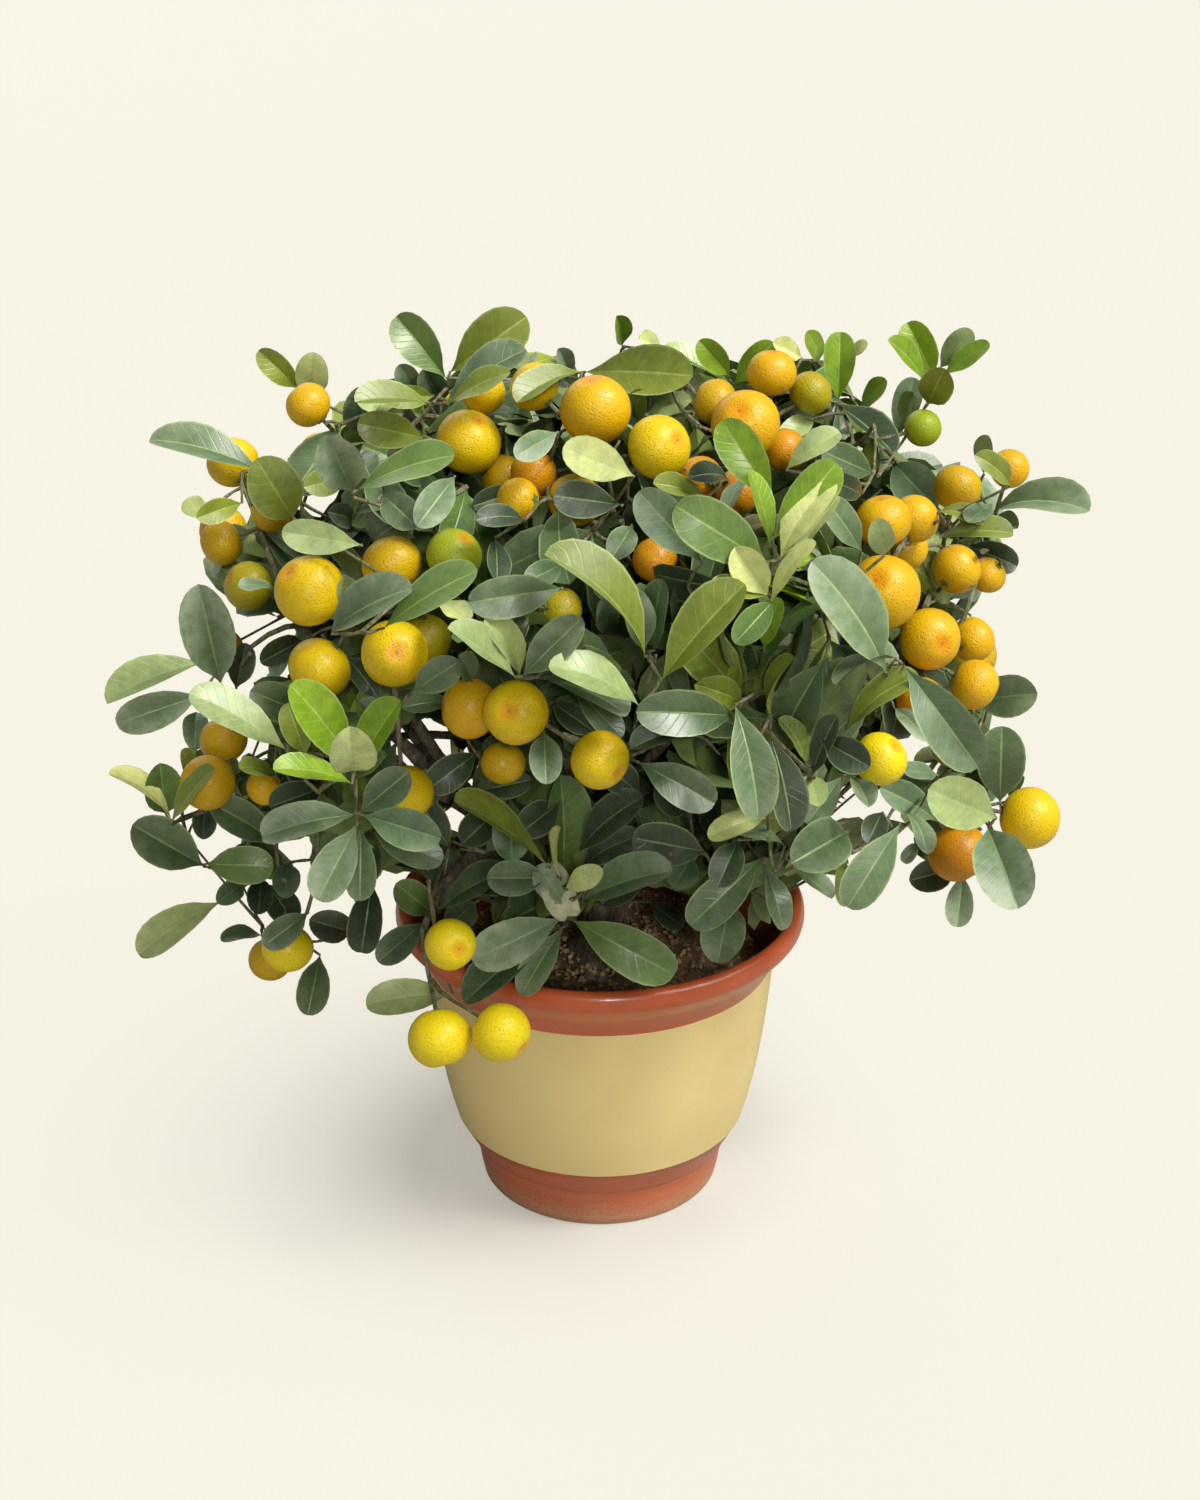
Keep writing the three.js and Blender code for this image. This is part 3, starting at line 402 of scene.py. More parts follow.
# Leaves that are seen whole: [x and y of the foot, x and y of the tip, width, kind, layer]
SEEN_LEAVES = [
    # Upper left
    (299, 389, 260, 352, 26, "olive", 1), (311, 396, 313, 354, 32, "pale", 1),
    (262, 472, 156, 442, 34, "old", 1), (293, 518, 258, 462, 52, "olive", 2),
    (212, 508, 182, 510, 22, "light", 1), (242, 503, 198, 518, 24, "olive", 1),
    (342, 424, 294, 492, 48, "dusty", 1), (362, 436, 362, 388, 38, "old", 0),
    (402, 400, 357, 398, 26, "light", 1), (432, 404, 358, 402, 22, "olive", 2),
    (424, 438, 360, 424, 36, "olive", 1), (353, 492, 328, 438, 46, "dusty", 2),
    (358, 490, 451, 457, 34, "mid", 2), (346, 478, 305, 487, 28, "olive", 0),
    (362, 545, 285, 532, 34, "light", 2), (352, 520, 328, 512, 24, "dark", 0),
    # Top
    (446, 378, 399, 320, 38, "mid", 1), (450, 372, 522, 320, 50, "olive", 1),
    (448, 400, 523, 352, 32, "old", 2), (448, 404, 508, 374, 24, "olive", 3),
    (420, 400, 400, 366, 24, "dusty", 0), (442, 402, 424, 370, 28, "old", 0),
    (434, 396, 384, 398, 24, "olive", 1), (455, 476, 418, 525, 34, "dusty", 1),
    (382, 494, 416, 526, 34, "old", 1), (506, 425, 502, 484, 20, "dark", 1),
    (582, 372, 518, 402, 24, "olive", 2), (566, 376, 558, 350, 18, "dusty", 0),
    (558, 432, 516, 456, 28, "dusty", 2), (634, 476, 566, 448, 40, "pale", 3),
    (586, 372, 690, 376, 50, "olive", 1), (622, 346, 617, 317, 18, "young", 0),
    (662, 352, 640, 338, 16, "pale", 0), (636, 418, 642, 390, 22, "olive", 0),
    (648, 414, 690, 400, 22, "light", 0), (622, 505, 556, 496, 38, "dark", 1),
    (632, 526, 612, 558, 28, "old", 1), (628, 500, 652, 547, 32, "dark", 0),
    (522, 490, 474, 506, 26, "dark", 0), (525, 520, 478, 520, 22, "dark", 1),
    (728, 384, 663, 352, 18, "young", 0), (730, 376, 700, 342, 26, "young", 0),
    (734, 384, 772, 344, 28, "young", 0), (802, 358, 774, 344, 20, "pale", 0),
    (818, 362, 807, 333, 18, "young", 0), (838, 402, 840, 336, 30, "young", 1),
    (850, 356, 866, 341, 12, "pale", 0), (862, 410, 886, 382, 18, "young", 1),
    (832, 402, 892, 452, 24, "dark", 1), (864, 414, 888, 440, 22, "dusty", 0),
    # The shoot that stands out at the upper right
    (934, 378, 908, 325, 34, "young", 1), (924, 382, 889, 341, 20, "young", 2),
    (942, 376, 988, 345, 20, "young", 2), (940, 368, 970, 331, 26, "light", 0),
    (928, 404, 944, 370, 34, "olive", 2), (896, 436, 914, 380, 28, "dusty", 0),
    (905, 426, 914, 394, 16, "light", 1), (892, 462, 936, 508, 46, "old", 0),
    (874, 474, 824, 452, 34, "old", 1), (862, 494, 828, 478, 26, "dark", 1),
    # The bright shoot right of the middle
    (774, 502, 724, 424, 42, "young", 2), (786, 470, 838, 434, 24, "light", 1),
    (772, 540, 834, 466, 42, "young", 3), (780, 560, 832, 484, 32, "pale", 3),
    (790, 572, 838, 500, 18, "pale", 2), (770, 548, 750, 474, 20, "young", 2),
    (766, 562, 679, 508, 54, "mid", 3), (768, 596, 736, 549, 36, "pale", 3),
    (768, 597, 713, 584, 22, "olive", 3), (752, 470, 695, 464, 32, "dark", 0),
    (728, 480, 690, 478, 20, "dark", 1), (706, 498, 655, 484, 22, "olive", 1),
    (702, 562, 641, 494, 44, "dusty", 2), (746, 476, 728, 512, 18, "dusty", 1),
    (814, 418, 780, 441, 24, "light", 1), (862, 552, 826, 500, 30, "dusty", 1),
    (884, 556, 877, 520, 26, "light", 3), (774, 600, 736, 642, 30, "mid", 3),
    (764, 648, 780, 600, 24, "young", 2), (770, 606, 814, 544, 18, "pale", 3),
    # Right
    (984, 474, 988, 437, 18, "light", 1), (1010, 486, 976, 456, 22, "olive", 3),
    (992, 513, 1086, 511, 34, "dusty", 0), (992, 505, 968, 522, 22, "dusty", 2),
    (940, 538, 1010, 534, 20, "olive", 1), (990, 526, 1017, 528, 16, "dusty", 0),
    (968, 545, 1016, 566, 30, "dark", 0), (938, 512, 982, 524, 18, "olive", 1),
    (886, 672, 814, 566, 54, "dusty", 3), (756, 692, 826, 604, 14, "mid", 2),
    (896, 658, 838, 684, 12, "old", 3), (846, 732, 916, 678, 26, "olive", 2),
    (770, 716, 794, 660, 10, "olive", 2), (812, 776, 836, 718, 26, "dark", 3),
    (806, 766, 779, 720, 18, "olive", 2), (822, 740, 868, 766, 34, "dark", 3),
    (735, 705, 757, 813, 44, "old", 3), (770, 736, 790, 826, 36, "dark", 2),
    (808, 772, 818, 805, 24, "light", 2), (950, 606, 904, 560, 32, "olive", 0),
    (938, 582, 926, 552, 22, "light", 0), (905, 667, 975, 763, 50, "dusty", 3),
    (972, 700, 1035, 694, 42, "dusty", 0), (1000, 802, 1002, 727, 50, "old", 1),
    (996, 818, 929, 790, 54, "light", 3), (1008, 802, 1024, 778, 16, "mid", 0),
    (894, 708, 926, 740, 22, "dusty", 1), (938, 775, 904, 772, 20, "dusty", 1),
    (972, 766, 914, 764, 14, "olive", 1),
    # Left
    (221, 684, 199, 588, 52, "dusty", 1), (206, 662, 112, 700, 32, "light", 1),
    (204, 694, 121, 722, 36, "dusty", 1), (196, 712, 195, 749, 26, "dusty", 0),
    (286, 750, 193, 695, 38, "light", 2), (236, 689, 246, 643, 28, "dark", 0),
    (302, 640, 262, 662, 26, "dark", 0), (294, 650, 278, 676, 16, "dusty", 0),
    (302, 712, 252, 692, 38, "old", 0), (352, 768, 292, 688, 46, "young", 2),
    (355, 770, 350, 728, 46, "pale", 3), (357, 770, 399, 702, 36, "young", 2),
    (352, 784, 276, 770, 26, "young", 3), (356, 778, 385, 757, 18, "mid", 2),
    (306, 757, 288, 704, 30, "olive", 1), (275, 589, 240, 587, 12, "dusty", 1),
    (331, 634, 410, 590, 40, "old", 2), (352, 602, 344, 576, 26, "light", 1),
    (384, 628, 474, 573, 36, "mid", 3), (440, 600, 467, 620, 22, "pale", 1),
    (385, 732, 360, 702, 22, "old", 0), (344, 656, 376, 695, 24, "dark", 0),
    (186, 782, 182, 750, 16, "olive", 1), (276, 776, 240, 768, 18, "olive", 1),
    # Middle
    (495, 538, 497, 581, 24, "dark", 1), (562, 564, 526, 582, 26, "old", 1),
    (562, 588, 472, 602, 42, "old", 2), (645, 656, 548, 558, 38, "olive", 3),
    (644, 652, 628, 590, 30, "dusty", 1), (656, 650, 662, 582, 26, "old", 1),
    (608, 635, 602, 600, 24, "old", 0), (662, 680, 742, 588, 48, "olive", 3),
    (639, 706, 552, 668, 34, "light", 3), (536, 678, 624, 714, 26, "old", 2),
    (574, 690, 620, 736, 28, "old", 1), (515, 677, 450, 630, 28, "light", 3),
    (519, 676, 486, 620, 26, "light", 2), (523, 676, 580, 620, 38, "old", 3),
    (412, 692, 458, 662, 34, "dusty", 1), (472, 682, 460, 655, 22, "dusty", 1),
    (452, 704, 404, 708, 22, "old", 1), (544, 732, 546, 782, 32, "old", 2),
    (552, 702, 592, 730, 26, "dark", 0), (735, 716, 640, 712, 46, "old", 2),
    (702, 736, 634, 748, 22, "dark", 1), (638, 762, 712, 802, 40, "old", 2),
    # Low on the left
    (172, 824, 111, 776, 20, "pale", 2), (166, 814, 160, 765, 38, "mid", 1),
    (171, 824, 214, 769, 20, "olive", 2), (204, 866, 135, 826, 48, "old", 1),
    (205, 806, 203, 838, 24, "dark", 0), (273, 842, 212, 804, 36, "old", 1),
    (206, 864, 273, 866, 40, "mid", 2), (242, 884, 218, 902, 22, "dusty", 0),
    (262, 880, 258, 913, 26, "dark", 0), (268, 884, 294, 922, 32, "dark", 0),
    (288, 862, 285, 897, 27, "old", 1), (221, 902, 142, 953, 34, "light", 1),
    (262, 936, 223, 941, 16, "old", 0), (308, 913, 266, 944, 28, "old", 3),
    (320, 955, 308, 1013, 32, "old", 0), (352, 932, 311, 920, 32, "dark", 0),
    (372, 880, 362, 950, 34, "dark", 0), (356, 815, 266, 836, 36, "dusty", 3),
    (357, 824, 320, 896, 40, "dusty", 3), (361, 826, 360, 897, 30, "old", 2),
    (363, 815, 438, 838, 40, "dusty", 3), (360, 812, 408, 772, 38, "old", 2),
    (372, 832, 440, 860, 34, "old", 1), (322, 788, 272, 806, 32, "dark", 0),
    # Over the pot
    (424, 922, 380, 960, 30, "old", 1), (452, 994, 370, 1004, 34, "light", 2),
    (434, 914, 396, 884, 34, "mid", 1), (438, 908, 450, 846, 38, "dark", 1),
    (440, 912, 510, 872, 32, "old", 1), (562, 918, 476, 958, 44, "dusty", 3),
    (562, 926, 470, 998, 36, "old", 2), (563, 928, 524, 991, 30, "old", 2),
    (572, 920, 669, 972, 46, "mid", 3), (582, 902, 670, 872, 40, "dusty", 3),
    (566, 906, 538, 866, 32, "dusty", 3), (566, 888, 602, 871, 24, "pale", 3),
    (560, 878, 560, 828, 7, "pale", 3), (550, 878, 489, 878, 36, "old", 2),
    (567, 916, 548, 866, 34, "dry", 3),
    (548, 866, 456, 802, 24, "olive", 3), (562, 872, 560, 776, 48, "mid", 1),
    (580, 852, 642, 798, 36, "dark", 1), (584, 866, 640, 836, 30, "dark", 1),
    (510, 800, 512, 858, 36, "old", 0), (482, 790, 530, 780, 28, "dark", 0),
    (767, 818, 711, 838, 24, "pale", 2), (785, 846, 735, 832, 14, "dusty", 2),
    (842, 776, 808, 822, 28, "dusty", 1), (846, 832, 794, 862, 50, "old", 2),
    (792, 866, 830, 897, 18, "dusty", 2), (706, 852, 634, 838, 44, "dark", 1),
    (692, 856, 674, 886, 32, "old", 1), (738, 840, 718, 885, 32, "dark", 2),
    (762, 858, 694, 922, 40, "old", 1), (730, 902, 718, 960, 42, "dusty", 1),
    (764, 864, 782, 926, 22, "old", 1), (650, 902, 682, 926, 22, "dark", 0),
    # Behind, low on the left and over the soil
    # Most of these are dark leaves, whose darker green is painted shade behind the others
    (478, 752, 430, 788, 34, "dark", 0), (502, 806, 464, 842, 34, "dark", 0),
    (450, 848, 420, 802, 32, "dark", 0), (520, 772, 486, 740, 30, "dark", 0),
    (560, 802, 522, 832, 34, "dark", 0), (536, 878, 498, 838, 34, "dark", 0),
    (600, 844, 572, 800, 36, "dark", 0), (640, 794, 604, 764, 34, "dark", 0),
    (476, 902, 446, 928, 30, "old", 0), (640, 870, 604, 902, 32, "dark", 0),
    (690, 812, 656, 786, 34, "dark", 0), (486, 852, 520, 812, 30, "old", 0),
    # Low on the right
    (900, 824, 850, 903, 40, "dusty", 3), (842, 858, 843, 904, 20, "olive", 1),
    (882, 812, 868, 842, 26, "dark", 1), (852, 778, 868, 806, 20, "dusty", 1),
    (936, 820, 880, 788, 32, "dusty", 1), (908, 812, 926, 852, 18, "dusty", 1),
    (988, 828, 1016, 903, 52, "dusty", 3), (963, 872, 957, 925, 27, "dusty", 1),
    (957, 868, 911, 880, 32, "dark", 0), (918, 842, 904, 862, 14, "dusty", 0),
]

# Stems that show: [x and y of the foot, x and y of the tip, layer]
SEEN_STEMS = [
    (878, 476, 934, 392, 1), (768, 690, 772, 545, 2), (622, 760, 656, 655, 2), (262, 925, 182, 832, 1),
    (356, 900, 357, 800, 1), (598, 842, 572, 900, 1), (1000, 850, 975, 790, 1), (440, 420, 442, 385, 0),
]

# Fruit that shows between the leaves: [x, y, diameter in millimetres, how ripe it is]
INNER_FRUIT = [
    (655, 560, 20, "orange"), (810, 690, 30, "olive"), (392, 565, 27, "gold"), (738, 492, 22, "orange"),
    (955, 745, 24, "gold"), (905, 548, 22, "amber"), (988, 575, 18, "amber"), (503, 478, 22, "gold"),
    (518, 500, 20, "amber"), (575, 500, 24, "gold"), (800, 640, 26, "orange"), (920, 700, 22, "orange"),
    (785, 450, 20, "orange"), (700, 480, 22, "orange"), (425, 640, 24, "olive"), (560, 610, 20, "olive"),
]


def between(ends, share):
    return ends[0] + (ends[1] - ends[0]) * share


def unit(vector):
    return vector / np.linalg.norm(vector)


def unit_rows(vectors):
    return vectors / np.linalg.norm(vectors, axis=1)[:, None]


def seeded(seed):
    """The same short row of numbers from the same seed each time, each from 0 up to 1"""
    state = seed

    def draw():
        nonlocal state
        state = (state * 1664525 + 1013904223) % 4294967296
        return state / 4294967296

    return draw


def three(draws, low, high):
    """Three random numbers between two ends"""
    return np.array([draws.uniform(low, high) for _ in range(3)])


def turn_to(way):
    """The turn that takes up to a way"""
    return np.array(Vector(way).to_track_quat("Z", "Y").to_matrix())


# Colours

def screen(code):
    """A screen colour from its six letters"""
    return tuple(int(code[i:i + 2], 16) / 255 for i in (0, 2, 4))


def linear(colour):
    """A colour as the shaders take it, from the same colour as a screen shows it"""
    return tuple(((c + 0.055) / 1.055) ** 2.4 if c > 0.04045 else c / 12.92 for c in colour)


def scaled(colour, *factors):
    """A colour with its channels times one factor, or each times its own"""
    return tuple(min(1, c * factor) for c, factor in zip(colour, factors * 3))


def blend(first, second, share):
    return tuple(between(ends, share) for ends in zip(first, second))


# Shaders

class Value:
    """A socket that gives a value, so that shader maths is written as Python"""

    def __init__(self, nodes, socket):
        self.nodes = nodes
        self.socket = socket

    def maths(self, operation, *others):
        return self.nodes.node("Math", {"operation": operation}, dict(enumerate((self, *others))))

    def __add__(self, other):
        return self.maths("ADD", other)

    def __sub__(self, other):
        return self.maths("SUBTRACT", other)

    def __rsub__(self, other):
        return self.nodes.node("Math", {"operation": "SUBTRACT"}, {0: other, 1: self})

    def __mul__(self, other):
        return self.maths("MULTIPLY", other)

    def __truediv__(self, other):
        return self.maths("DIVIDE", other)

    __radd__ = __add__
    __rmul__ = __mul__


class Nodes:
    """A node tree, and the one way in which nodes are added to it"""

    def __init__(self, tree):
        self.tree = tree

    def put(self, value, socket):
        if isinstance(value, Value):
            self.tree.links.new(value.socket, socket)
        elif isinstance(value, tuple) and len(value) == 3 and socket.type == "RGBA":
            socket.default_value = (*value, 1)
        else:
            socket.default_value = value

    def node(self, kind, settings=None, inputs=None, output=0):
        made = self.tree.nodes.new("ShaderNode" + kind)
        for name, value in (settings or {}).items():
            if name == "stops":
                ramp = made.color_ramp.elements
                while len(ramp) < len(value):
                    ramp.new(0.5)
                for stop, (place, grey) in zip(ramp, value):
                    stop.position = place
                    stop.color = (grey, grey, grey, 1)
            else:
                setattr(made, name, value)
        for name, value in (inputs or {}).items():
            self.put(value, made.inputs[name])
        return Value(self, made.outputs[output])

    def seen_or_lit(self, seen, lit, end):
        """Ends in one shader where the camera looks, and in another for the light that goes round"""
        self.put(self.node("MixShader", {}, {0: self.node("LightPath"), 1: lit, 2: seen}), end.inputs[0])


class Finish(Nodes):
    """A material, its surface shader and the nodes that feed it"""

    def __init__(self, name, **constants):
        self.material = bpy.data.materials.new(name)
        self.material.use_nodes = True
        super().__init__(self.material.node_tree)
        self.shader = self.tree.nodes["Principled BSDF"]
        for socket, value in constants.items():
            self.set(socket.replace("_", " "), value)

    def set(self, socket, value):
        self.put(value, self.shader.inputs[socket])

    def place(self, scale=(1, 1, 1)):
        """Object coordinates in millimetres, stretched by a scale"""
        here = self.node("TexCoord", output=3)
        return self.node("Mapping", {}, {0: here, 3: tuple(s / MM for s in scale)})

    def height(self):
        return self.node("SeparateXYZ", {}, {0: self.place()}, 2)

    def distance_out(self):
        return self.node("VectorMath", {"operation": "LENGTH"}, {0: self.place((1, 1, 0))}, 1)

    def noise(self, size, detail=2, stretch=(1, 1, 1), roughness=0.5):
        """Noise from 0 to 1 with features of a size in millimetres"""
        scale = tuple(s / size for s in stretch)
        inputs = {"Vector": self.place(scale), "Scale": 1.0, "Detail": detail, "Roughness": roughness}
        return self.node("TexNoise", {}, inputs)

    def ramp(self, value, *stops):
        return self.node("ValToRGB", {"stops": stops}, {0: value})

    def mix(self, first, second, share):
        return self.node("Mix", {"data_type": "RGBA"}, {0: share, 6: first, 7: second}, 2)

    def attribute(self, name):
        return self.node("Attribute", {"attribute_name": name}, {}, 2)

    def bump(self, height, distance, strength=1.0):
        inputs = {"Height": height, "Distance": distance * MM, "Strength": strength}
        self.set("Normal", self.node("Bump", {}, inputs))


def terracotta(settings):
    """Moulded plastic: glossy at the lip, scuffed and chalky at the foot"""
    finish = Finish("terracotta_plastic", Coat_Roughness=0.16, Specular_IOR_Level=0.5)
    base = linear(settings.terracotta)
    height = finish.height()
    blotches = finish.ramp(finish.noise(26, 3), (0.2, 0.35), (0.55, 1))
    streaks = finish.noise(5, 4, (0.14, 0.14, 1.6), 0.7)
    foot = finish.ramp(height / SCUFF_HEIGHT, (0.0, 1), (0.3, 0.5), (0.92, 0))
    grain = finish.noise(0.9, 3, (0.5, 0.5, 1.3), 0.75)
    scuffs = finish.ramp(streaks * 0.55 + grain * 0.45, (0.42, 0), (0.62, 1)) * foot
    specks = finish.ramp(finish.noise(1.1, 1), (0.66, 0), (0.72, 1))
    dusty = finish.ramp(finish.noise(34, 1), (0.45, 0), (0.7, 1))
    worn = (scuffs * 0.8 + specks * dusty * 0.5).maths("MINIMUM", 1.0)
    bottom = finish.ramp(height / CHALK_HEIGHT, (0.0, 1), (0.3, 0.55), (0.6, 0.25), (0.95, 0))
    chalk = bottom * finish.ramp(grain, (0.36, 0.25), (0.6, 1))
    worn = (worn * 0.8 + chalk * 1.1 + foot * 0.1).maths("MINIMUM", 0.9)
    colour = finish.mix(scaled(base, 0.62), base, blotches)
    finish.set("Base Color", finish.mix(colour, linear(settings.scuffs), worn))
    finish.set("Roughness", worn * 0.35 + 0.34)
    finish.set("Coat Weight", 0.5 - worn * 0.5)
    finish.bump(streaks * 0.4 + finish.noise(0.9, 2) * 0.25, 0.12)
    return finish.material


def cream_band(settings):
    """Satin plastic, faintly grimy"""
    finish = Finish("cream_band", Specular_IOR_Level=0.45)
    base = linear(settings.band)
    grime = finish.ramp(finish.noise(30, 4), (0.35, 0), (0.75, 1))
    specks = finish.ramp(finish.noise(1.3, 1), (0.68, 0), (0.75, 1))
    finish.set("Base Color", finish.mix(base, scaled(base, 0.88, 0.86, 0.8), grime * 0.5 + specks * 0.3))
    finish.set("Roughness", grime * 0.12 + 0.42)
    finish.bump(finish.noise(0.8, 2) * 0.5 + finish.noise(7, 1) * 0.5, 0.1, 0.6)
    return finish.material


def pot_lining(settings):
    """The inner wall, darkened from its foot and fading out towards its lip: partly soil stain and partly
    painted shade
    """
    finish = Finish("pot_lining", Specular_IOR_Level=0.4)
    base = linear(settings.terracotta)
    ragged_edge = finish.noise(9, 4) * RAGGED_EDGE_HEIGHT
    # Painted shade and soil stain together: deep in the pot the wall is darkened to about a third, fading
    # out towards the lip
    stain_and_shade = finish.ramp((finish.height() + ragged_edge) / STAIN_AND_SHADE_SPAN, (0.66, 1), (0.84, 0))
    finish.set("Base Color", finish.mix(base, scaled(base, 0.34), stain_and_shade))
    finish.set("Roughness", stain_and_shade * 0.3 + 0.42)
    finish.bump(finish.noise(1.1, 3), 0.15)
    return finish.material


def earth(name, colour, contrast):
    """Crumbly soil, darker in its pits"""
    finish = Finish(name, Roughness=0.96, Specular_IOR_Level=0.2)
    base = linear(colour)
    grain = finish.noise(1.6, 4, roughness=0.7)
    share = finish.ramp(grain * 0.6 + finish.noise(11, 2) * 0.4, (0.35, 0), (0.65, 1))
    finish.set("Base Color", finish.mix(scaled(base, contrast), base, share))
    finish.bump(grain, 0.7)
    return finish.material


def bark(name, colour, pale, size):
    """Bark with pale patches, and dark in its fissures"""
    finish = Finish(name, Specular_IOR_Level=0.3)
    base = linear(colour)
    fissures = finish.noise(size, 4, (1, 1, 0.25), 0.65)
    patches = finish.ramp(finish.noise(size * 4, 2), (0.4, 0), (0.65, 1))
    patched = finish.mix(base, linear(pale), patches)
    raised = finish.ramp(fissures, (0.36, 0), (0.56, 1))
    finish.set("Base Color", finish.mix(scaled(base, 0.45), patched, raised))
    finish.set("Roughness", fissures * 0.2 + 0.72)
    finish.bump(fissures, 0.35)
    return finish.material


def leaf_face(name, colour, dust, gloss, veined=0.2):
    """One side of a leaf: a waxy green of its own tone, with one half painted lighter than the other as
    painted shade across its fold, faint veins, and bloom towards the tip and margins, partly dust and partly
    painted sheen
    """
    finish = Finish(name, Specular_IOR_Level=0.55)
    base = linear(colour)
    along, across = finish.attribute("along"), finish.attribute("across")
    mottle = finish.noise(6, 4, roughness=0.65)
    # The across term paints one half of each leaf lighter than the other: painted shade across its fold
    tone = finish.attribute("tone") * 0.7 + (mottle - 0.5) * 1.1 + across * 0.1 + 0.15
    shades = scaled(base, *LEAF_DEEP), scaled(base, *LEAF_FAIR)
    own = finish.mix(*shades, finish.ramp(tone, (0.0, 0), (1.0, 1)))
    rows = (along * VEIN_ROWS - across.maths("ABSOLUTE") * 1.8).maths("FRACT")
    veins = finish.ramp(rows, (0.0, 1), (0.1, 0), (0.92, 0), (1.0, 1))
    own = finish.mix(own, tuple(min(1, c * 1.5 + 0.1) for c in base), veins * veined)
    # Bloom: pale patches of dust, strongest towards the tip and margins, where they are also painted sheen
    film = finish.ramp(finish.noise(8, 4, roughness=0.65), (0.32, 0.2), (0.7, 1))
    film = film * finish.attribute("film") * (along * along * 0.6 + across * across * 0.5 + 0.1)
    finish.set("Base Color", finish.mix(own, linear(BLOOM_AND_SHEEN_COLOUR), film * dust))
    finish.set("Roughness", film * (dust * 0.25) + gloss)
    finish.bump(mottle * 0.7 - veins * 0.35, 0.22, 0.6)
    return finish.material


def peel(name, colour, blush):
    """Pored peel with a soft sheen, a little deeper in patches and round the small navel"""
    finish = Finish(name, Specular_IOR_Level=0.42, Coat_Weight=0.06, Coat_Roughness=0.35)
    warm = linear(blush)
    navel = finish.attribute("navel")
    patches = finish.ramp(finish.noise(15, 2), (0.4, 0), (0.68, 1))
    skin = finish.mix(linear(colour), warm, patches * 0.5)
    skin = finish.mix(skin, linear(NAVEL_BLUSH), finish.ramp(navel, (0.958, 0), (0.992, 1)) * 0.5)
    pores = finish.node("TexVoronoi", {}, {"Vector": finish.place((0.8, 0.8, 0.8)), "Scale": 1.0})
    pits = finish.ramp(pores, (0.12, 1), (0.42, 0))
    pitted = finish.mix(skin, scaled(warm, 0.66), pits * 0.42)
    scar = finish.ramp(navel, (0.9965, 0), (0.9985, 1)) * 0.7
    finish.set("Base Color", finish.mix(pitted, linear(NAVEL_SCAR), scar))
    finish.set("Roughness", patches * 0.06 + 0.38)
    finish.bump(1.0 - pits, 0.2, 0.9)
    return finish.material


def plain_plant(name, colour, roughness):
    """A small green or white part of the plant"""
    finish = Finish(name, Specular_IOR_Level=0.4, Roughness=roughness)
    base = linear(colour)
    blotches = finish.ramp(finish.noise(4, 2), (0.35, 0), (0.6, 1))
    finish.set("Base Color", finish.mix(scaled(base, 0.7), base, blotches))
    return finish.material


def floor_paint(settings):
    """A pale floor that glows as its backdrop does, and takes a shadow round the pot"""
    finish = Finish("floor", Roughness=0.9, Specular_IOR_Level=0.1)
    base = linear(settings.floor)
    near = finish.ramp(finish.distance_out() / SHADOW_SPAN, *SHADOW_FADE)
    finish.set("Base Color", finish.mix((0.0, 0.0, 0.0), scaled(base, *FLOOR_LIT), near))
    finish.set("Emission Color", finish.mix(base, scaled(base, FLOOR_BOUNCE), near))
    finish.set("Emission Strength", 1)
    bounce = finish.node("BsdfDiffuse", {}, {"Color": scaled(base, FLOOR_BOUNCE)})
    finish.seen_or_lit(Value(finish, finish.shader.outputs[0]), bounce, finish.tree.nodes["Material Output"])
    return finish.material


# Modelling

def start(primitive, **sizes):
    """A primitive in edit mode with nothing else selected"""
    if bpy.context.object and bpy.context.object.mode != "OBJECT":
        bpy.ops.object.mode_set(mode="OBJECT")
    bpy.ops.object.select_all(action="DESELECT")
    primitive(**sizes)
    bpy.ops.object.mode_set(mode="EDIT")
    bpy.ops.mesh.select_mode(type="VERT")
    return bpy.context.object


def start_ring(vertices, place):
    """A circle of a radius at a height, all selected"""
    radius, height = place
    ring = start(bpy.ops.mesh.primitive_circle_add, vertices=vertices, radius=radius * MM,
                 fill_type="NOTHING", location=(0, 0, height * MM))
    bpy.ops.mesh.select_all(action="SELECT")
    return ring


def done(name):
    bpy.ops.object.mode_set(mode="OBJECT")
    return named(bpy.context.object, name)


def named(piece, name):
    piece.name = piece.data.name = name
    return piece


def select(piece, test):
    """Selects, in edit mode, only the vertices whose place passes a test"""
    bpy.ops.mesh.select_all(action="DESELECT")
    shape = bmesh.from_edit_mesh(piece.data)
    for vertex in shape.verts:
        if test(vertex.co):
            vertex.select_set(True)
    shape.select_flush(True)
    bmesh.update_edit_mesh(piece.data)


def face_outwards():
    bpy.ops.mesh.select_all(action="SELECT")
    bpy.ops.mesh.normals_make_consistent(inside=False)


def only(piece):
    """Makes a piece the one that operators act on"""
    bpy.ops.object.select_all(action="DESELECT")
    piece.select_set(True)
    bpy.context.view_layer.objects.active = piece


def join(piece, other):
    only(piece)
    other.select_set(True)
    bpy.ops.object.join()


def modify(piece, kind, **settings):
    only(piece)
    modifier = piece.modifiers.new(kind.lower(), kind)
    for name, value in settings.items():
        setattr(modifier, name, value)
    bpy.ops.object.modifier_apply(modifier=modifier.name)


def raise_rings(outline):
    """Extrudes the selected ring from each radius and height to the next"""
    for (radius, height), (next_radius, next_height) in zip(outline, outline[1:]):
        rise = (0, 0, (next_height - height) * MM)
        bpy.ops.mesh.extrude_edges_move(TRANSFORM_OT_translate={"value": rise})
        share = next_radius / radius
        bpy.ops.transform.resize(value=(share, share, 1), center_override=(0, 0, next_height * MM))


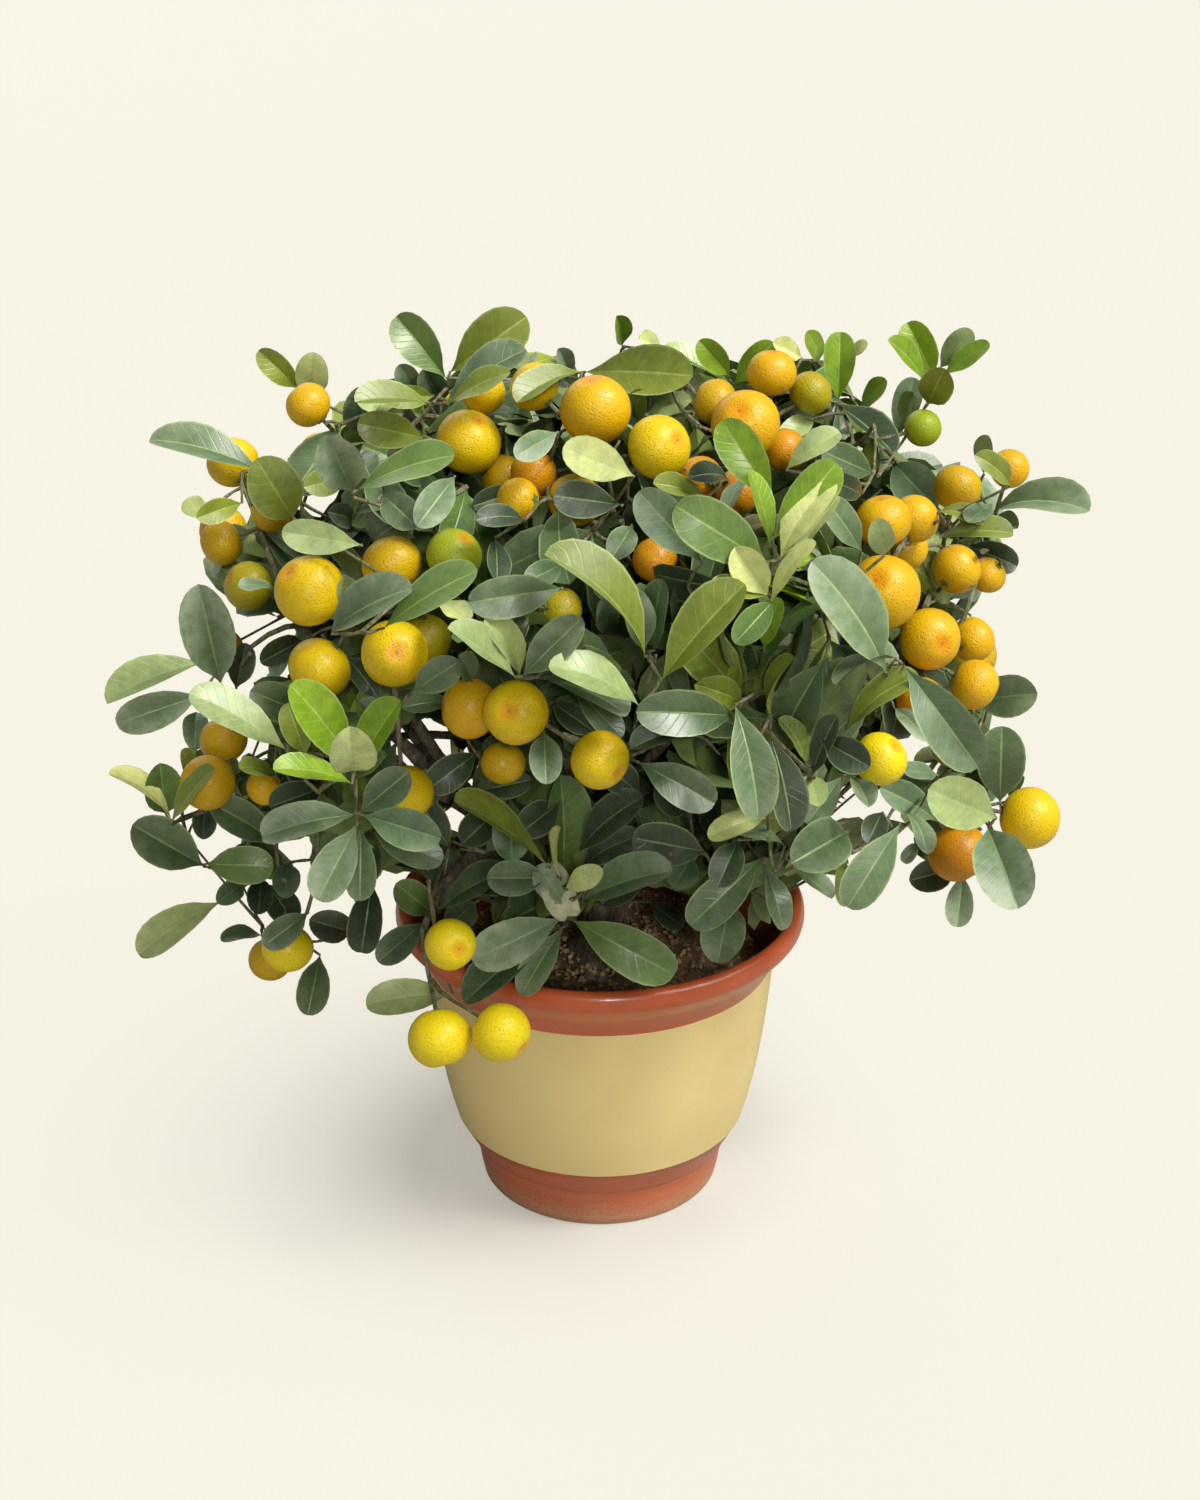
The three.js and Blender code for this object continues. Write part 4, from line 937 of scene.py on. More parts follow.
def read(items, name, width=1, kind=float):
    """One property of all the items of a mesh, as an array"""
    values = np.empty(len(items) * width, kind)
    items.foreach_get(name, values)
    return values.reshape(-1, width) if width > 1 else values


def points_of(mesh):
    """Places of a mesh's points, in millimetres"""
    return read(mesh.vertices, "co", 3) / MM


def set_points(mesh, points):
    mesh.vertices.foreach_set("co", np.ascontiguousarray(points * MM, dtype=np.float32).ravel())
    mesh.update()


def finish_piece(piece, materials, nodes, angle):
    """Gives a finished piece its materials, shading and body, and hides the nodes of the solids that it
    stands for
    """
    faces = piece.data.polygons
    places = read(faces, "material_index", kind=np.int32)
    piece.data.materials.clear()
    for material in materials:
        piece.data.materials.append(material)
    faces.foreach_set("material_index", places)
    only(piece)
    bpy.ops.object.shade_smooth_by_angle(angle=math.radians(angle))
    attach(piece, "root")
    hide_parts(*nodes)


class Shape:
    """A small mesh as arrays, to be copied many times"""

    def __init__(self, piece):
        mesh = piece.data
        self.points = read(mesh.vertices, "co", 3)
        self.corners = read(mesh.loops, "vertex_index", kind=np.int32)
        self.sizes = read(mesh.polygons, "loop_total", kind=np.int32)
        self.slots = read(mesh.polygons, "material_index", kind=np.int32)
        bpy.data.objects.remove(piece)


class Joined:
    """Copies of small shapes, gathered as arrays and joined into one mesh"""

    def __init__(self):
        self.points, self.corners, self.sizes, self.slots, self.marks = [], [], [], [], []
        self.count = 0

    def add(self, shape, points, slot=0, marks=()):
        self.points.append(points)
        self.corners.append(shape.corners + self.count)
        self.sizes.append(shape.sizes)
        self.slots.append(shape.slots + slot)
        self.marks.append(marks)
        self.count += len(points)

    def build(self, name, *marks):
        mesh = bpy.data.meshes.new(name)
        mesh.vertices.add(self.count)
        mesh.vertices.foreach_set("co", (np.concatenate(self.points) * MM).astype(np.float32).ravel())
        corners = np.concatenate(self.corners)
        sizes = np.concatenate(self.sizes)
        mesh.loops.add(len(corners))
        mesh.loops.foreach_set("vertex_index", corners)
        mesh.polygons.add(len(sizes))
        mesh.polygons.foreach_set("loop_start", np.cumsum(sizes) - sizes)
        mesh.polygons.foreach_set("material_index", np.concatenate(self.slots))
        mesh.update(calc_edges=True)
        mesh.shade_smooth()
        for mark, values in zip(marks, zip(*self.marks)):
            made = mesh.attributes.new(mark, "FLOAT", "POINT")
            made.data.foreach_set("value", np.concatenate(values).astype(np.float32))
        piece = bpy.data.objects.new(name, mesh)
        bpy.context.scene.collection.objects.link(piece)
        return piece


def branches(name, rows, resolution):
    """A mesh of tapering round branches: each row is points, a radius for each, and a slot"""
    curve = bpy.data.curves.new(name, "CURVE")
    curve.dimensions = "3D"
    curve.bevel_depth = MM
    curve.bevel_resolution = resolution
    curve.use_fill_caps = True
    for points, radii, slot in rows:
        line = curve.splines.new("POLY")
        line.points.add(len(points) - 1)
        line.material_index = slot
        line.use_smooth = True
        for place, (x, y, z), radius in zip(line.points, points, radii):
            place.co = (x * MM, y * MM, z * MM, 1)
            place.radius = radius
    for _ in range(1 + max(row[2] for row in rows)):
        curve.materials.append(bpy.data.materials.new("branch"))
    piece = bpy.data.objects.new(name, curve)
    bpy.context.scene.collection.objects.link(piece)
    only(piece)
    bpy.ops.object.convert(target="MESH")
    return named(bpy.context.object, name)


# Limbs: each keeps its curve and radii, so that others can spring from it or avoid it

def point_on(curve, share):
    foot, bend, tip = curve
    return (1 - share) ** 2 * foot + 2 * share * (1 - share) * bend + share ** 2 * tip


def way_on(curve, share):
    foot, bend, tip = curve
    return unit((1 - share) * (bend - foot) + share * (tip - bend))


def plant_limbs():
    limbs = {"trunk": ((TRUNK_FOOT, (TRUNK_FOOT + TRUNK_TOP) / 2, TRUNK_TOP), TRUNK_RADII, TRUNK_STEPS)}
    for name, share, tip, foot_radius, tip_radius in LIMBS:
        foot = point_on(limbs["trunk"][0], share)
        end = np.array(tip, float)
        bend = foot + (end - foot) * LIMB_BEND
        bend[2] = max(bend[2], foot[2] + LIMB_RISE * (end[2] - foot[2]))
        limbs[name] = ((foot, bend, end), (foot_radius, tip_radius), LIMB_STEPS)
    for name, place, parent, share in MASSES:
        heart = np.array(place, float)
        curve = limbs[parent][0]
        foot = point_on(curve, share)
        run = heart - foot
        bend = foot + run * BOUGH_BEND + way_on(curve, share) * BOUGH_SWEEP * np.linalg.norm(run)
        tip = heart - unit(heart - bend) * STEM_LENGTH
        limbs["bough_" + name] = ((foot, bend, tip), BOUGH_RADII, BOUGH_STEPS)
    return limbs


# Space: each mass keeps to the points that are nearer to its heart than to any other

class Crown:
    """The space that the twigs and leaves grow in, and what stands in it"""

    def __init__(self):
        self.limbs = plant_limbs()
        self.hearts = np.array([row[1] for row in MASSES], float)
        starts, ends, radii = [], [], []
        for curve, limb_radii, steps in self.limbs.values():
            axis = [point_on(curve, step / steps) for step in range(steps + 1)]
            starts += axis[:-1]
            ends += axis[1:]
            radii += [between(limb_radii, step / steps) for step in range(steps)]
        self.limb_lines = np.array(starts), np.array(ends)
        self.limb_radii = np.array(radii)
        self.fruits = []

    def nearest(self, place):
        return int(np.argmin(np.linalg.norm(self.hearts - place, axis=1)))

    def depth(self, places, own):
        """How deep places lie inside the walls that part one heart from the others"""
        others = np.delete(self.hearts, own, axis=0)
        across = others - self.hearts[own]
        middles = (others + self.hearts[own]) / 2
        reach = ((middles[None] - places[:, None]) * across[None]).sum(2)
        return (reach / np.linalg.norm(across, axis=1)).min(1)

    def touches_limb(self, places, clearance):
        away = line_distance(places, *self.limb_lines)
        return (away < self.limb_radii + clearance).any(1)

    def clear(self, places, own, margin):
        return ((self.depth(places, own) > margin + WALL_CLEARANCE) & ~touches_pot(places)
                & ~self.touches_limb(places, margin + LIMB_CLEARANCE))


def line_distance(places, starts, ends):
    """Distance of each place from each straight line"""
    run = ends - starts
    share = ((places[:, None] - starts[None]) * run).sum(2) / (run * run).sum(1)
    nearest = starts + np.clip(share, 0, 1)[:, :, None] * run
    return np.linalg.norm(places[:, None] - nearest, axis=2)


def in_fruit(fruits, places, clearance):
    """Which places lie in a fruit, or nearer to one than a clearance"""
    if not fruits:
        return np.zeros(len(places), bool)
    centres = np.array([fruit[0] for fruit in fruits])
    reach = np.array([fruit[1] / 2 for fruit in fruits]) + clearance
    return (np.linalg.norm(places[:, None] - centres[None], axis=2) < reach).any(1)


def block_size(step):
    return (np.abs(step) ** CROWN_ROUNDNESS).sum(-1) ** (1 / CROWN_ROUNDNESS)


def crown_share(places):
    return block_size((places - CROWN_MIDDLE) / CROWN_REACH)


def out_from_pot(places):
    return np.hypot(places[:, 0], places[:, 1])


def touches_pot(places):
    return (places[:, 2] < RIM_HEIGHT) & (out_from_pot(places) < RIM_RADIUS)


def in_pot_wall(places):
    """Which places lie in the pot's wall or in its soil"""
    out, height = out_from_pot(places), places[:, 2]
    near = (height < POT_WALL_TOP) & (out < POT_WALL[1])
    return near & ((out > POT_WALL[0]) | (height < SOIL_TOP))


def in_open_place(places):
    away = np.linalg.norm(places[:, None] - OPEN_PLACES[None, :, :3], axis=2)
    return (away < OPEN_PLACES[:, 3]).any(1)


def outline_place(i, count, depth):
    """A place on a golden spiral over the crown's outline, at a share of its reach"""
    height = 1 - (2 * (i + 0.5)) / count
    angle = i * GOLDEN_ANGLE
    across = math.sqrt(1 - height * height)
    out = np.array([across * math.cos(angle), across * math.sin(angle), height])
    return out * (depth / block_size(out)) * CROWN_REACH + CROWN_MIDDLE, height


class Prospect:
    """The crown as it is seen first: what stays open in the picture, and what nothing hides"""

    def __init__(self):
        down, level = math.sin(EYE_TILT), math.cos(EYE_TILT)
        self.ahead = np.array([0, level, -down])
        self.above = np.array([0, down, level])
        centres = [(np.arange(size // PICTURE_CELL) + 0.5) * PICTURE_CELL for size in PICTURE]
        x, y = np.meshgrid(*centres)
        closed = np.zeros(x.shape, bool)
        for (x0, y0), (x1, y1) in zip(CLOSED_CROWN, CLOSED_CROWN[1:] + CLOSED_CROWN[:1]):
            if y0 != y1:
                closed ^= ((y0 > y) != (y1 > y)) & (x < (x1 - x0) * (y - y0) / (y1 - y0) + x0)
        for gap_x, gap_y, radius in GAPS:
            closed &= np.hypot(x - gap_x, y - gap_y) > radius
        self.open = ~closed
        self.nearest = np.zeros(x.shape)
        self.shown = self.nearest

    def cells(self, places):
        offset = places - EYE
        depth = offset @ self.ahead
        x = PICTURE[0] / 2 + PICTURE_SCALE * offset[:, 0] / depth
        y = PICTURE[1] / 2 - PICTURE_SCALE * (offset @ self.above) / depth
        rows, columns = self.open.shape
        row = np.clip(y / PICTURE_CELL, 0, rows - 1).astype(int)
        return (row, np.clip(x / PICTURE_CELL, 0, columns - 1).astype(int)), depth

    def is_open(self, places):
        return self.open[self.cells(places)[0]].any()

    def would_hide(self, places, margin):
        cells, depth = self.cells(places)
        return (depth < self.nearest[cells] - margin).any()

    def show(self, places):
        cells, depth = self.cells(places)
        np.maximum.at(self.nearest, cells, depth)

    def behind(self, places, most):
        """How far each place has to draw back along its line of sight to hide nothing that is seen"""
        cells, depth = self.cells(places)
        back = self.shown[cells] - depth + SIGHT_CLEARANCE
        return np.where((back > 0) & (back < most), back, 0)[:, None] * unit_rows(places - EYE)

    def show_fruit(self, centre, size):
        turns, outs = np.meshgrid(np.linspace(0, 2 * math.pi, 24), np.linspace(0.1, 0.94, 6) * size / 2)
        across = np.outer((np.cos(turns) * outs).ravel(), (1, 0, 0))
        self.show(centre + across + np.outer((np.sin(turns) * outs).ravel(), self.above))

    def spread(self, cells, step):
        """Lets what stands beside a thing that shows come forward only little by little"""
        for _ in range(cells):
            sides = np.zeros((4, *self.nearest.shape))
            sides[0, 1:] = self.nearest[:-1]
            sides[1, :-1] = self.nearest[1:]
            sides[2, :, 1:] = self.nearest[:, :-1]
            sides[3, :, :-1] = self.nearest[:, 1:]
            self.nearest = np.where(self.nearest > 0, self.nearest, np.maximum(sides.max(0) - step, 0))

    def way(self, x, y):
        """The line of sight through a pixel, one unit deep"""
        right = (x - PICTURE[0] / 2) / PICTURE_SCALE
        return self.ahead + self.above * ((PICTURE[1] / 2 - y) / PICTURE_SCALE) + np.array([right, 0, 0])

    def place(self, x, y, layer, more=0.0):
        """Where a line of sight comes to a layer of the crown's front"""
        way = self.way(x, y)
        steps = EYE + np.arange(*SIGHT_STEPS)[:, None] * way
        shares = front_share(steps)
        deep = np.flatnonzero(shares < LAYER_SHARES[layer] + more)
        if len(deep):
            spot = steps[deep[0]]
        else:
            spot = steps[np.argmin(shares)] - way * LAYER_STEP * (layer - MIDDLE_LAYER + 10 * more)
        return spot + way * max(0, NEAREST_Y - spot[1])


def front_share(places):
    """Like the crown's own share, but the front of the seen crown draws in towards the pot"""
    rise = np.clip((places[:, 2] - FRONT_HEIGHTS[0]) / (FRONT_HEIGHTS[1] - FRONT_HEIGHTS[0]), 0, 1)
    reach = np.where(places[:, 1] < 0, between(FRONT_REACH, rise), CROWN_REACH[1])
    steps = (places - CROWN_MIDDLE) / CROWN_REACH
    steps[:, 1] = places[:, 1] / reach
    return block_size(steps)


def crown_targets(prospect):
    """Shoots and fruit of the whole crown, as on the solids: [place, diameter, kind, stands out]"""
    draw = seeded(SEEDS["solids"])
    targets = [(np.array(row[:3], float), row[3], row[4], False) for row in FRUIT]
    targets += [(np.array(row[:3], float), 0, row[3], True) for row in SHOOTS]
    kinds = random.Random(SEEDS["kinds"])
    for i in range(SHOOT_COUNT):
        depth = between(SHOOT_DEPTH, draw())
        place, height = outline_place(i, SHOOT_COUNT, depth)
        hidden = place[1] > HIDDEN_FRUIT_BACK or abs(place[0]) > HIDDEN_FRUIT_SIDE
        bears = draw() < HIDDEN_FRUIT_SHARE and hidden
        size = between(HIDDEN_FRUIT_SIZE, draw()) if bears else 0
        under = height < UNDERSIDE_HEIGHT and np.hypot(place[0], place[1]) < UNDERSIDE_RADIUS
        crowded = any(np.linalg.norm(other[0] - place) < SHOOT_SPACING + other[1] / 2
                      for other in targets)
        if under or crowded or in_open_place(place[None])[0]:
            continue
        if place[1] > SEEN_BACK and prospect.is_open(place[None]) and not bears:
            continue
        kind = kinds.choice(HIDDEN_RIPENESS) if bears else leaf_kind(place, kinds)
        targets.append((place, size, kind, False))
    return targets


def drawn_back(points, prospect):
    """A twig's points, moved back smoothly where it would pass in front of a leaf or fruit that shows"""
    back = prospect.behind(points, TWIG_PUSH)
    for _ in range(2):
        back[1:-1] = (back[:-2] + back[1:-1] * 2 + back[2:]) / 4
        back[0] = back[-1] = 0
    moved = points + back
    moved[1:-1] += prospect.behind(moved[1:-1], TWIG_PUSH / 3)
    out = out_from_pot(moved)
    in_pot = (moved[:, 2] < RIM_HEIGHT) & (out > POT_LINING_RADIUS) & (out < RIM_RADIUS)
    return np.where(in_pot[:, None], points, moved)


def leaf_kind(place, kinds):
    """Young leaves are most at the top, and dusty and dark ones low down and inside"""
    height = (place[2] - CROWN_BOTTOM) / CROWN_HEIGHT
    # The dark kind's darker green is painted shade: it goes mostly to leaves inside the crown and to the
    # filler on the front side
    if crown_share(place) < INSIDE_SHARE:
        return kinds.choices(["dark", "old", "mid"], [7, 2, 1])[0]
    if place[1] < FRONT_Y:
        return kinds.choices(["dark", "old", "mid", "olive", "dusty"], [6, 5, 1, 1, 1])[0]
    weights = [5, 2 + 2 * (1 - height), 2, 2 + 2 * height, 0.6 + height, 0.2 + 0.4 * height, 1, 0.2, 0]
    return kinds.choices(LEAF_KINDS, weights)[0]


class Growth:
    """The twigs, fruit and shoots of one mass, grown from its stem by the rule of the solids"""

    def __init__(self, crown, index):
        self.crown = crown
        self.index = index
        name, heart = MASSES[index][:2]
        curve = crown.limbs["bough_" + name][0]
        self.arrival = way_on(curve, 1)
        self.heart = np.array(heart, float)
        self.foot = curve[2] + self.arrival * STEM_FOOT
        stem = self.heart - self.foot
        self.joints = [(self.foot + stem * share, self.arrival, -1, share) for share in STEM_JOINTS]
        self.lines = [(self.foot, self.heart)]
        self.twigs = []
        self.bears = []
        self.fruits = []
        self.shoots = []

    def bear(self, twig, share):
        if twig >= 0:
            self.bears[twig] = max(self.bears[twig], share)

    def bearing_twigs(self):
        """The twigs that carry a leaf, a fruit or a twig that does, each as far as the last of these"""
        for i in reversed(range(len(self.twigs))):
            if self.bears[i]:
                self.bear(*self.twigs[i][4:])
        return [(foot, foot + (end - foot) * share, way, finer)
                for (foot, end, way, finer, _, _), share in zip(self.twigs, self.bears) if share]

    def near_twig(self, places, clearance):
        starts, ends = (np.array(side) for side in zip(*self.lines))
        return (line_distance(places, starts, ends) < clearance).any(1)

    def nearest_joint(self, place):
        away = [math.dist(joint[0], place) for joint in self.joints]
        return min(away), self.joints[int(np.argmin(away))]

    def joint_for(self, target, size, spacing, margin, prospect=None):
        """The joint with the shortest and straightest way to a target, in front of nothing seen"""
        costs = []
        for place, direction, _, _ in self.joints:
            way = target - place
            costs.append(np.linalg.norm(way) * (1 + TURN_COST) - TURN_COST * way.dot(direction))
        for i in np.argsort(costs, kind="stable")[:JOINT_TRIES]:
            place = self.joints[i][0]
            count = math.ceil(np.linalg.norm(target - place) / SAMPLE_STEP)
            steps = place + (target - place) * (np.arange(count + 1) / count)[:, None]
            steps = steps[np.linalg.norm(steps - target, axis=1) >= size / 2]
            far = np.linalg.norm(steps - place, axis=1) >= JOINT_REACH
            blocked = ~self.crown.clear(steps, self.index, margin)
            blocked |= in_fruit(self.fruits, steps, TWIG_MARGIN) | (far & self.near_twig(steps, spacing))
            if not blocked.any() and not (prospect and prospect.would_hide(steps, 0)):
                return self.joints[i]
        return None

    def add_twig(self, joint, end, finer=False, bears=False):
        start, parent_way, parent, parent_share = joint
        direction = unit(end - start)
        for share in TWIG_JOINTS:
            self.joints.append((start + (end - start) * share, direction, len(self.twigs), share))
        self.lines.append((start, end))
        self.twigs.append((start, end, parent_way, finer, parent, parent_share))
        self.bears.append(float(bears))
        return direction

    def add_shoot(self, joint, end, tip, kind, stands_out=False, **twig):
        """A twig with leaves to come: [tip, direction, kind, stands out, length, twig]"""
        direction = self.add_twig(joint, end, **twig)
        length = np.linalg.norm(tip - joint[0])
        self.shoots.append((tip, direction, kind, stands_out, length, len(self.twigs) - 1))

    def grow(self, targets):
        own = [target for target in targets if self.crown.nearest(target[0]) == self.index]
        own.sort(key=lambda target: (-target[1], np.linalg.norm(target[0] - self.heart)))
        for centre, size, kind, stands_out in own:
            spot = centre[None]
            in_other = in_fruit(self.fruits, spot, size / 2)[0]
            if size and (in_other or self.near_twig(spot, size / 2 + 1)[0]):
                continue
            joint = self.joint_for(centre, size, TWIG_SPACING, TWIG_MARGIN)
            if joint is None:
                continue
            stalk = unit(joint[0] - centre)
            end = centre + stalk * size * STALK_DEPTH
            if size:
                self.fruits.append((centre, size, kind, stalk))
                self.add_shoot(joint, end, centre + stalk * (size / 2 + 3), "fruit", stands_out, bears=True)
            else:
                self.add_shoot(joint, end, centre, kind, stands_out)

    def bear_fruit(self, joint, centre, size, ripeness):
        stalk = unit(joint[0] - centre)
        self.add_twig(joint, centre + stalk * size * STALK_DEPTH, True, True)
        self.fruits.append((centre, size, ripeness, stalk))
        self.crown.fruits.append(self.fruits[-1])

    def reach(self, place):
        """A stalk to a leaf that is seen, which always finds a joint"""
        away, joint = self.nearest_joint(place)
        if away > NEAR_JOINT:
            joint = self.joint_for(place, 0, FINER_TWIG_SPACING, 0) or joint
        if away > SHORTEST_STALK:
            self.add_twig(joint, place, True, True)
        else:
            self.bear(*joint[2:])

    def grow_finer(self, place, kind, prospect):
        """A finer twig to a place between the shoots, from the joint that reaches it best"""
        joint = self.joint_for(place, 0, FINER_TWIG_SPACING, 1, prospect)
        if joint:
            self.add_shoot(joint, place, place, kind, finer=True)


def bear_inner_fruit(crown, prospect, masses):
    """Hangs each fruit that shows between the leaves on the joint that is nearest to it"""
    for x, y, size, ripeness in INNER_FRUIT:
        way = prospect.way(x, y)
        centre = prospect.place(x, y, 0)
        while in_fruit(crown.fruits, centre[None], size / 2 + 0.5)[0]:
            centre = centre + way * 3
        mass = masses[crown.nearest(centre)]
        mass.bear_fruit(mass.nearest_joint(centre)[1], centre, size, ripeness)


def bear_back_fruit(crown, masses):
    """Hangs fruit all over the side that is turned away"""
    draws = random.Random(SEEDS["back fruit"])
    for i in range(BACK_FRUIT_COUNT):
        centre, height = outline_place(i, BACK_FRUIT_COUNT, draws.uniform(*BACK_FRUIT_DEPTH))
        size = draws.uniform(*HIDDEN_FRUIT_SIZE)
        ripeness = draws.choice(HIDDEN_RIPENESS)
        outward = unit((centre - CROWN_MIDDLE) / CROWN_REACH ** 2)
        if outward.dot(unit(EYE - centre)) > BACK_FRUIT_TURN or height < UNDERSIDE_HEIGHT:
            continue
        if in_fruit(crown.fruits, centre[None], BACK_FRUIT_SPACING)[0]:
            continue
        mass = masses[crown.nearest(centre)]
        joint = mass.joint_for(centre, size, TWIG_SPACING, TWIG_MARGIN)
        if joint and not mass.near_twig(centre[None], size / 2 + 1)[0]:
            mass.bear_fruit(joint, centre, size, ripeness)


def reach_seen(foliage, masses, draws):
    """Sets the stems and leaves that are seen, each on a twig, and gives the roots of these leaves"""
    crown, prospect = foliage.crown, foliage.prospect
    for foot_x, foot_y, tip_x, tip_y, layer in SEEN_STEMS:
        foot = prospect.place(foot_x, foot_y, layer, -0.1)
        tip = prospect.place(tip_x, tip_y, layer, -0.05)
        mass = masses[crown.nearest(tip)]
        mass.reach(foot)
        mass.add_twig((foot, unit(tip - foot), len(mass.twigs) - 1, 1), tip, True, True)
    roots = []
    for row in SEEN_LEAVES:
        root = foliage.set_seen(row, draws)["root"]
        mass = min(masses, key=lambda one: one.nearest_joint(root)[0])
        if mass.nearest_joint(root)[0] >= NEAR_JOINT:
            mass = masses[crown.nearest(root)]
        mass.reach(root)
        roots.append(root)
    return roots


def grow_crown():
    """Grows fruit and shoots, then the leaves that are seen, then finer shoots between them"""
    crown, prospect = Crown(), Prospect()
    targets = crown_targets(prospect)
    masses = [Growth(crown, index) for index in range(len(MASSES))]
    for mass in masses:
        mass.grow(targets)
        crown.fruits += mass.fruits
    bear_inner_fruit(crown, prospect, masses)
    bear_back_fruit(crown, masses)
    for row in FRUIT:
        prospect.show_fruit(np.array(row[:3], float), row[3])
    foliage = Foliage(crown, prospect)
    draws = random.Random(SEEDS["crown"])
    ends = [shoot[0] for mass in masses for shoot in mass.shoots]
    ends += reach_seen(foliage, masses, draws)
    prospect.shown = prospect.nearest.copy()
    for mass in masses:
        clear = [joint for joint in mass.joints if not prospect.would_hide(joint[0][None], 0)]
        mass.joints = clear or mass.joints
    prospect.spread(*SPREAD)

    def fill(place, spacing):
        """Grows a finer shoot to a place if there is room for it, in front of nothing that is seen"""
        spot = place[None]
        crowded = np.linalg.norm(np.array(ends) - place, axis=1).min() < spacing
        if crowded or in_fruit(crown.fruits, spot, FRUIT_CLEARANCE)[0] or touches_pot(spot)[0]:
            return
        if prospect.is_open(spot) or prospect.would_hide(spot, 0):
            return
        masses[crown.nearest(place)].grow_finer(place, leaf_kind(place, draws), prospect)
        ends.append(place)

    for count, low, high, spacing in FINER_SHELLS:
        for i in range(count):
            place, height = outline_place(i, count, draws.uniform(low, high))
            place += three(draws, -SHELL_JITTER, SHELL_JITTER)
            under = height < SHELL_BOTTOM and np.hypot(place[0], place[1]) < RIM_RADIUS
            if not under and not in_open_place(place[None])[0]:
                fill(place, spacing)
    for _ in range(SKIRT_COUNT):
        fill(np.array([draws.uniform(low, high) for low, high in SKIRT]), SKIRT_SPACING)
    return foliage, masses


# Leaves

def blade(outline, columns, under):
    """A flat leaf one unit long and two across, with its columns of points at given shares"""
    rows = len(outline) - 1
    spaces = len(columns) - 1
    piece = start(bpy.ops.mesh.primitive_grid_add, x_subdivisions=spaces, y_subdivisions=rows, size=2)
    for column, share in enumerate(columns):
        place = 2 * column / spaces - 1
        if abs(place) > BLADE_TOUCH and column >= len(columns) / 2:
            select(piece, lambda co: abs(abs(co.x) - place) < BLADE_TOUCH)
            bpy.ops.transform.resize(value=(share / place, 1, 1), center_override=(0, 0, 0))
    for row, (along, half_width) in reversed(list(enumerate(outline))):
        height = 2 * row / rows - 1
        select(piece, lambda co: abs(co.y - height) < BLADE_TOUCH)
        bpy.ops.transform.resize(value=(half_width, 1, 1), center_override=(0, height, 0))
        bpy.ops.transform.translate(value=(0, along + 2 - height, 0))
    if under:
        select(piece, lambda co: abs(co.x) < BLADE_TOUCH and 2 + BLADE_TOUCH < co.y < 3 - BLADE_TOUCH)
        bpy.ops.transform.translate(value=(0, 0, -1))
        bpy.ops.mesh.select_all(action="SELECT")
        bpy.ops.mesh.flip_normals()
    bpy.ops.mesh.select_all(action="SELECT")
    bpy.ops.transform.translate(value=(0, -2, 0))
    return done("blade")


def leaf_shape(outline):
    """A thin closed leaf: its upper side has a rib and margins, and its under side is plainer"""
    upper = blade(outline, (-1, -LEAF_MARGIN, -LEAF_RIB, LEAF_RIB, LEAF_MARGIN, 1), False)
    join(upper, blade(outline, (-1, 0, 1), True))
    bpy.ops.object.mode_set(mode="EDIT")
    for end in (0, 1):
        select(upper, lambda co: abs(co.y - end) < LEAF_WELD)
        bpy.ops.mesh.merge(type="CENTER")
    bpy.ops.mesh.select_all(action="SELECT")
    bpy.ops.mesh.remove_doubles(threshold=LEAF_WELD)
    piece = done("leaf")
    places, widths = zip(*outline)
    for face in piece.data.polygons:
        middle = face.center
        edge = np.interp(middle.y, places, widths)
        pale = abs(middle.x) < LEAF_RIB * edge * 0.5 or abs(middle.x) > LEAF_MARGIN * edge
        face.material_index = 2 if middle.z < -0.1 else (1 if pale else 0)
    shape = Shape(piece)
    shape.across = shape.points[:, 0] / np.interp(shape.points[:, 1], places, widths)
    return shape


def drawn(draws, ranges, fixed):
    """Marks drawn between their ends, apart from those that are fixed; turns come in radians"""
    marks = {name: fixed[name] if name in fixed else draws.uniform(*ends) for name, ends in ranges.items()}
    return marks | {name: math.radians(marks[name]) for name in ("fold", "curl", "twist")}


def bent_leaf(points, leaf):
    """Places of a leaf's points once it is folded along its rib, bent down, twisted and turned"""
    across_share, along_share, under = points.T
    side = across_share * leaf["width"] / 2
    lift = np.abs(side) * math.sin(leaf["fold"]) + under * LEAF_THICKNESS
    ripple = np.sin(along_share * LEAF_RIPPLES + leaf["phase"] + np.sign(side) * 1.3)
    lift += leaf["wave"] * ripple * np.abs(across_share)
    side = side * math.cos(leaf["fold"])
    twist = leaf["twist"] * along_share
    side, lift = (side * np.cos(twist) - lift * np.sin(twist), side * np.sin(twist) + lift * np.cos(twist))
    bend = leaf["curl"] * along_share
    radius = leaf["length"] / leaf["curl"]
    along = radius * np.sin(bend) + lift * np.sin(bend)
    down = lift * np.cos(bend) - radius * (1 - np.cos(bend))
    across = np.cross(leaf["way"], leaf["face"])
    places = leaf["root"] + np.outer(side, across)
    return places + np.outer(along, leaf["way"]) + np.outer(down, leaf["face"])


def leaf_samples(columns, rows, edge):
    across, along = np.meshgrid(np.linspace(-edge, edge, columns), np.linspace(*SAMPLED_LENGTH, rows))
    across = across * np.interp(along, *zip(*LEAF_OUTLINE))
    return np.stack([across.ravel(), along.ravel(), np.zeros(across.size)], 1)


def cell_of(place):
    return tuple(int(v // LEAF_CELL) for v in place)


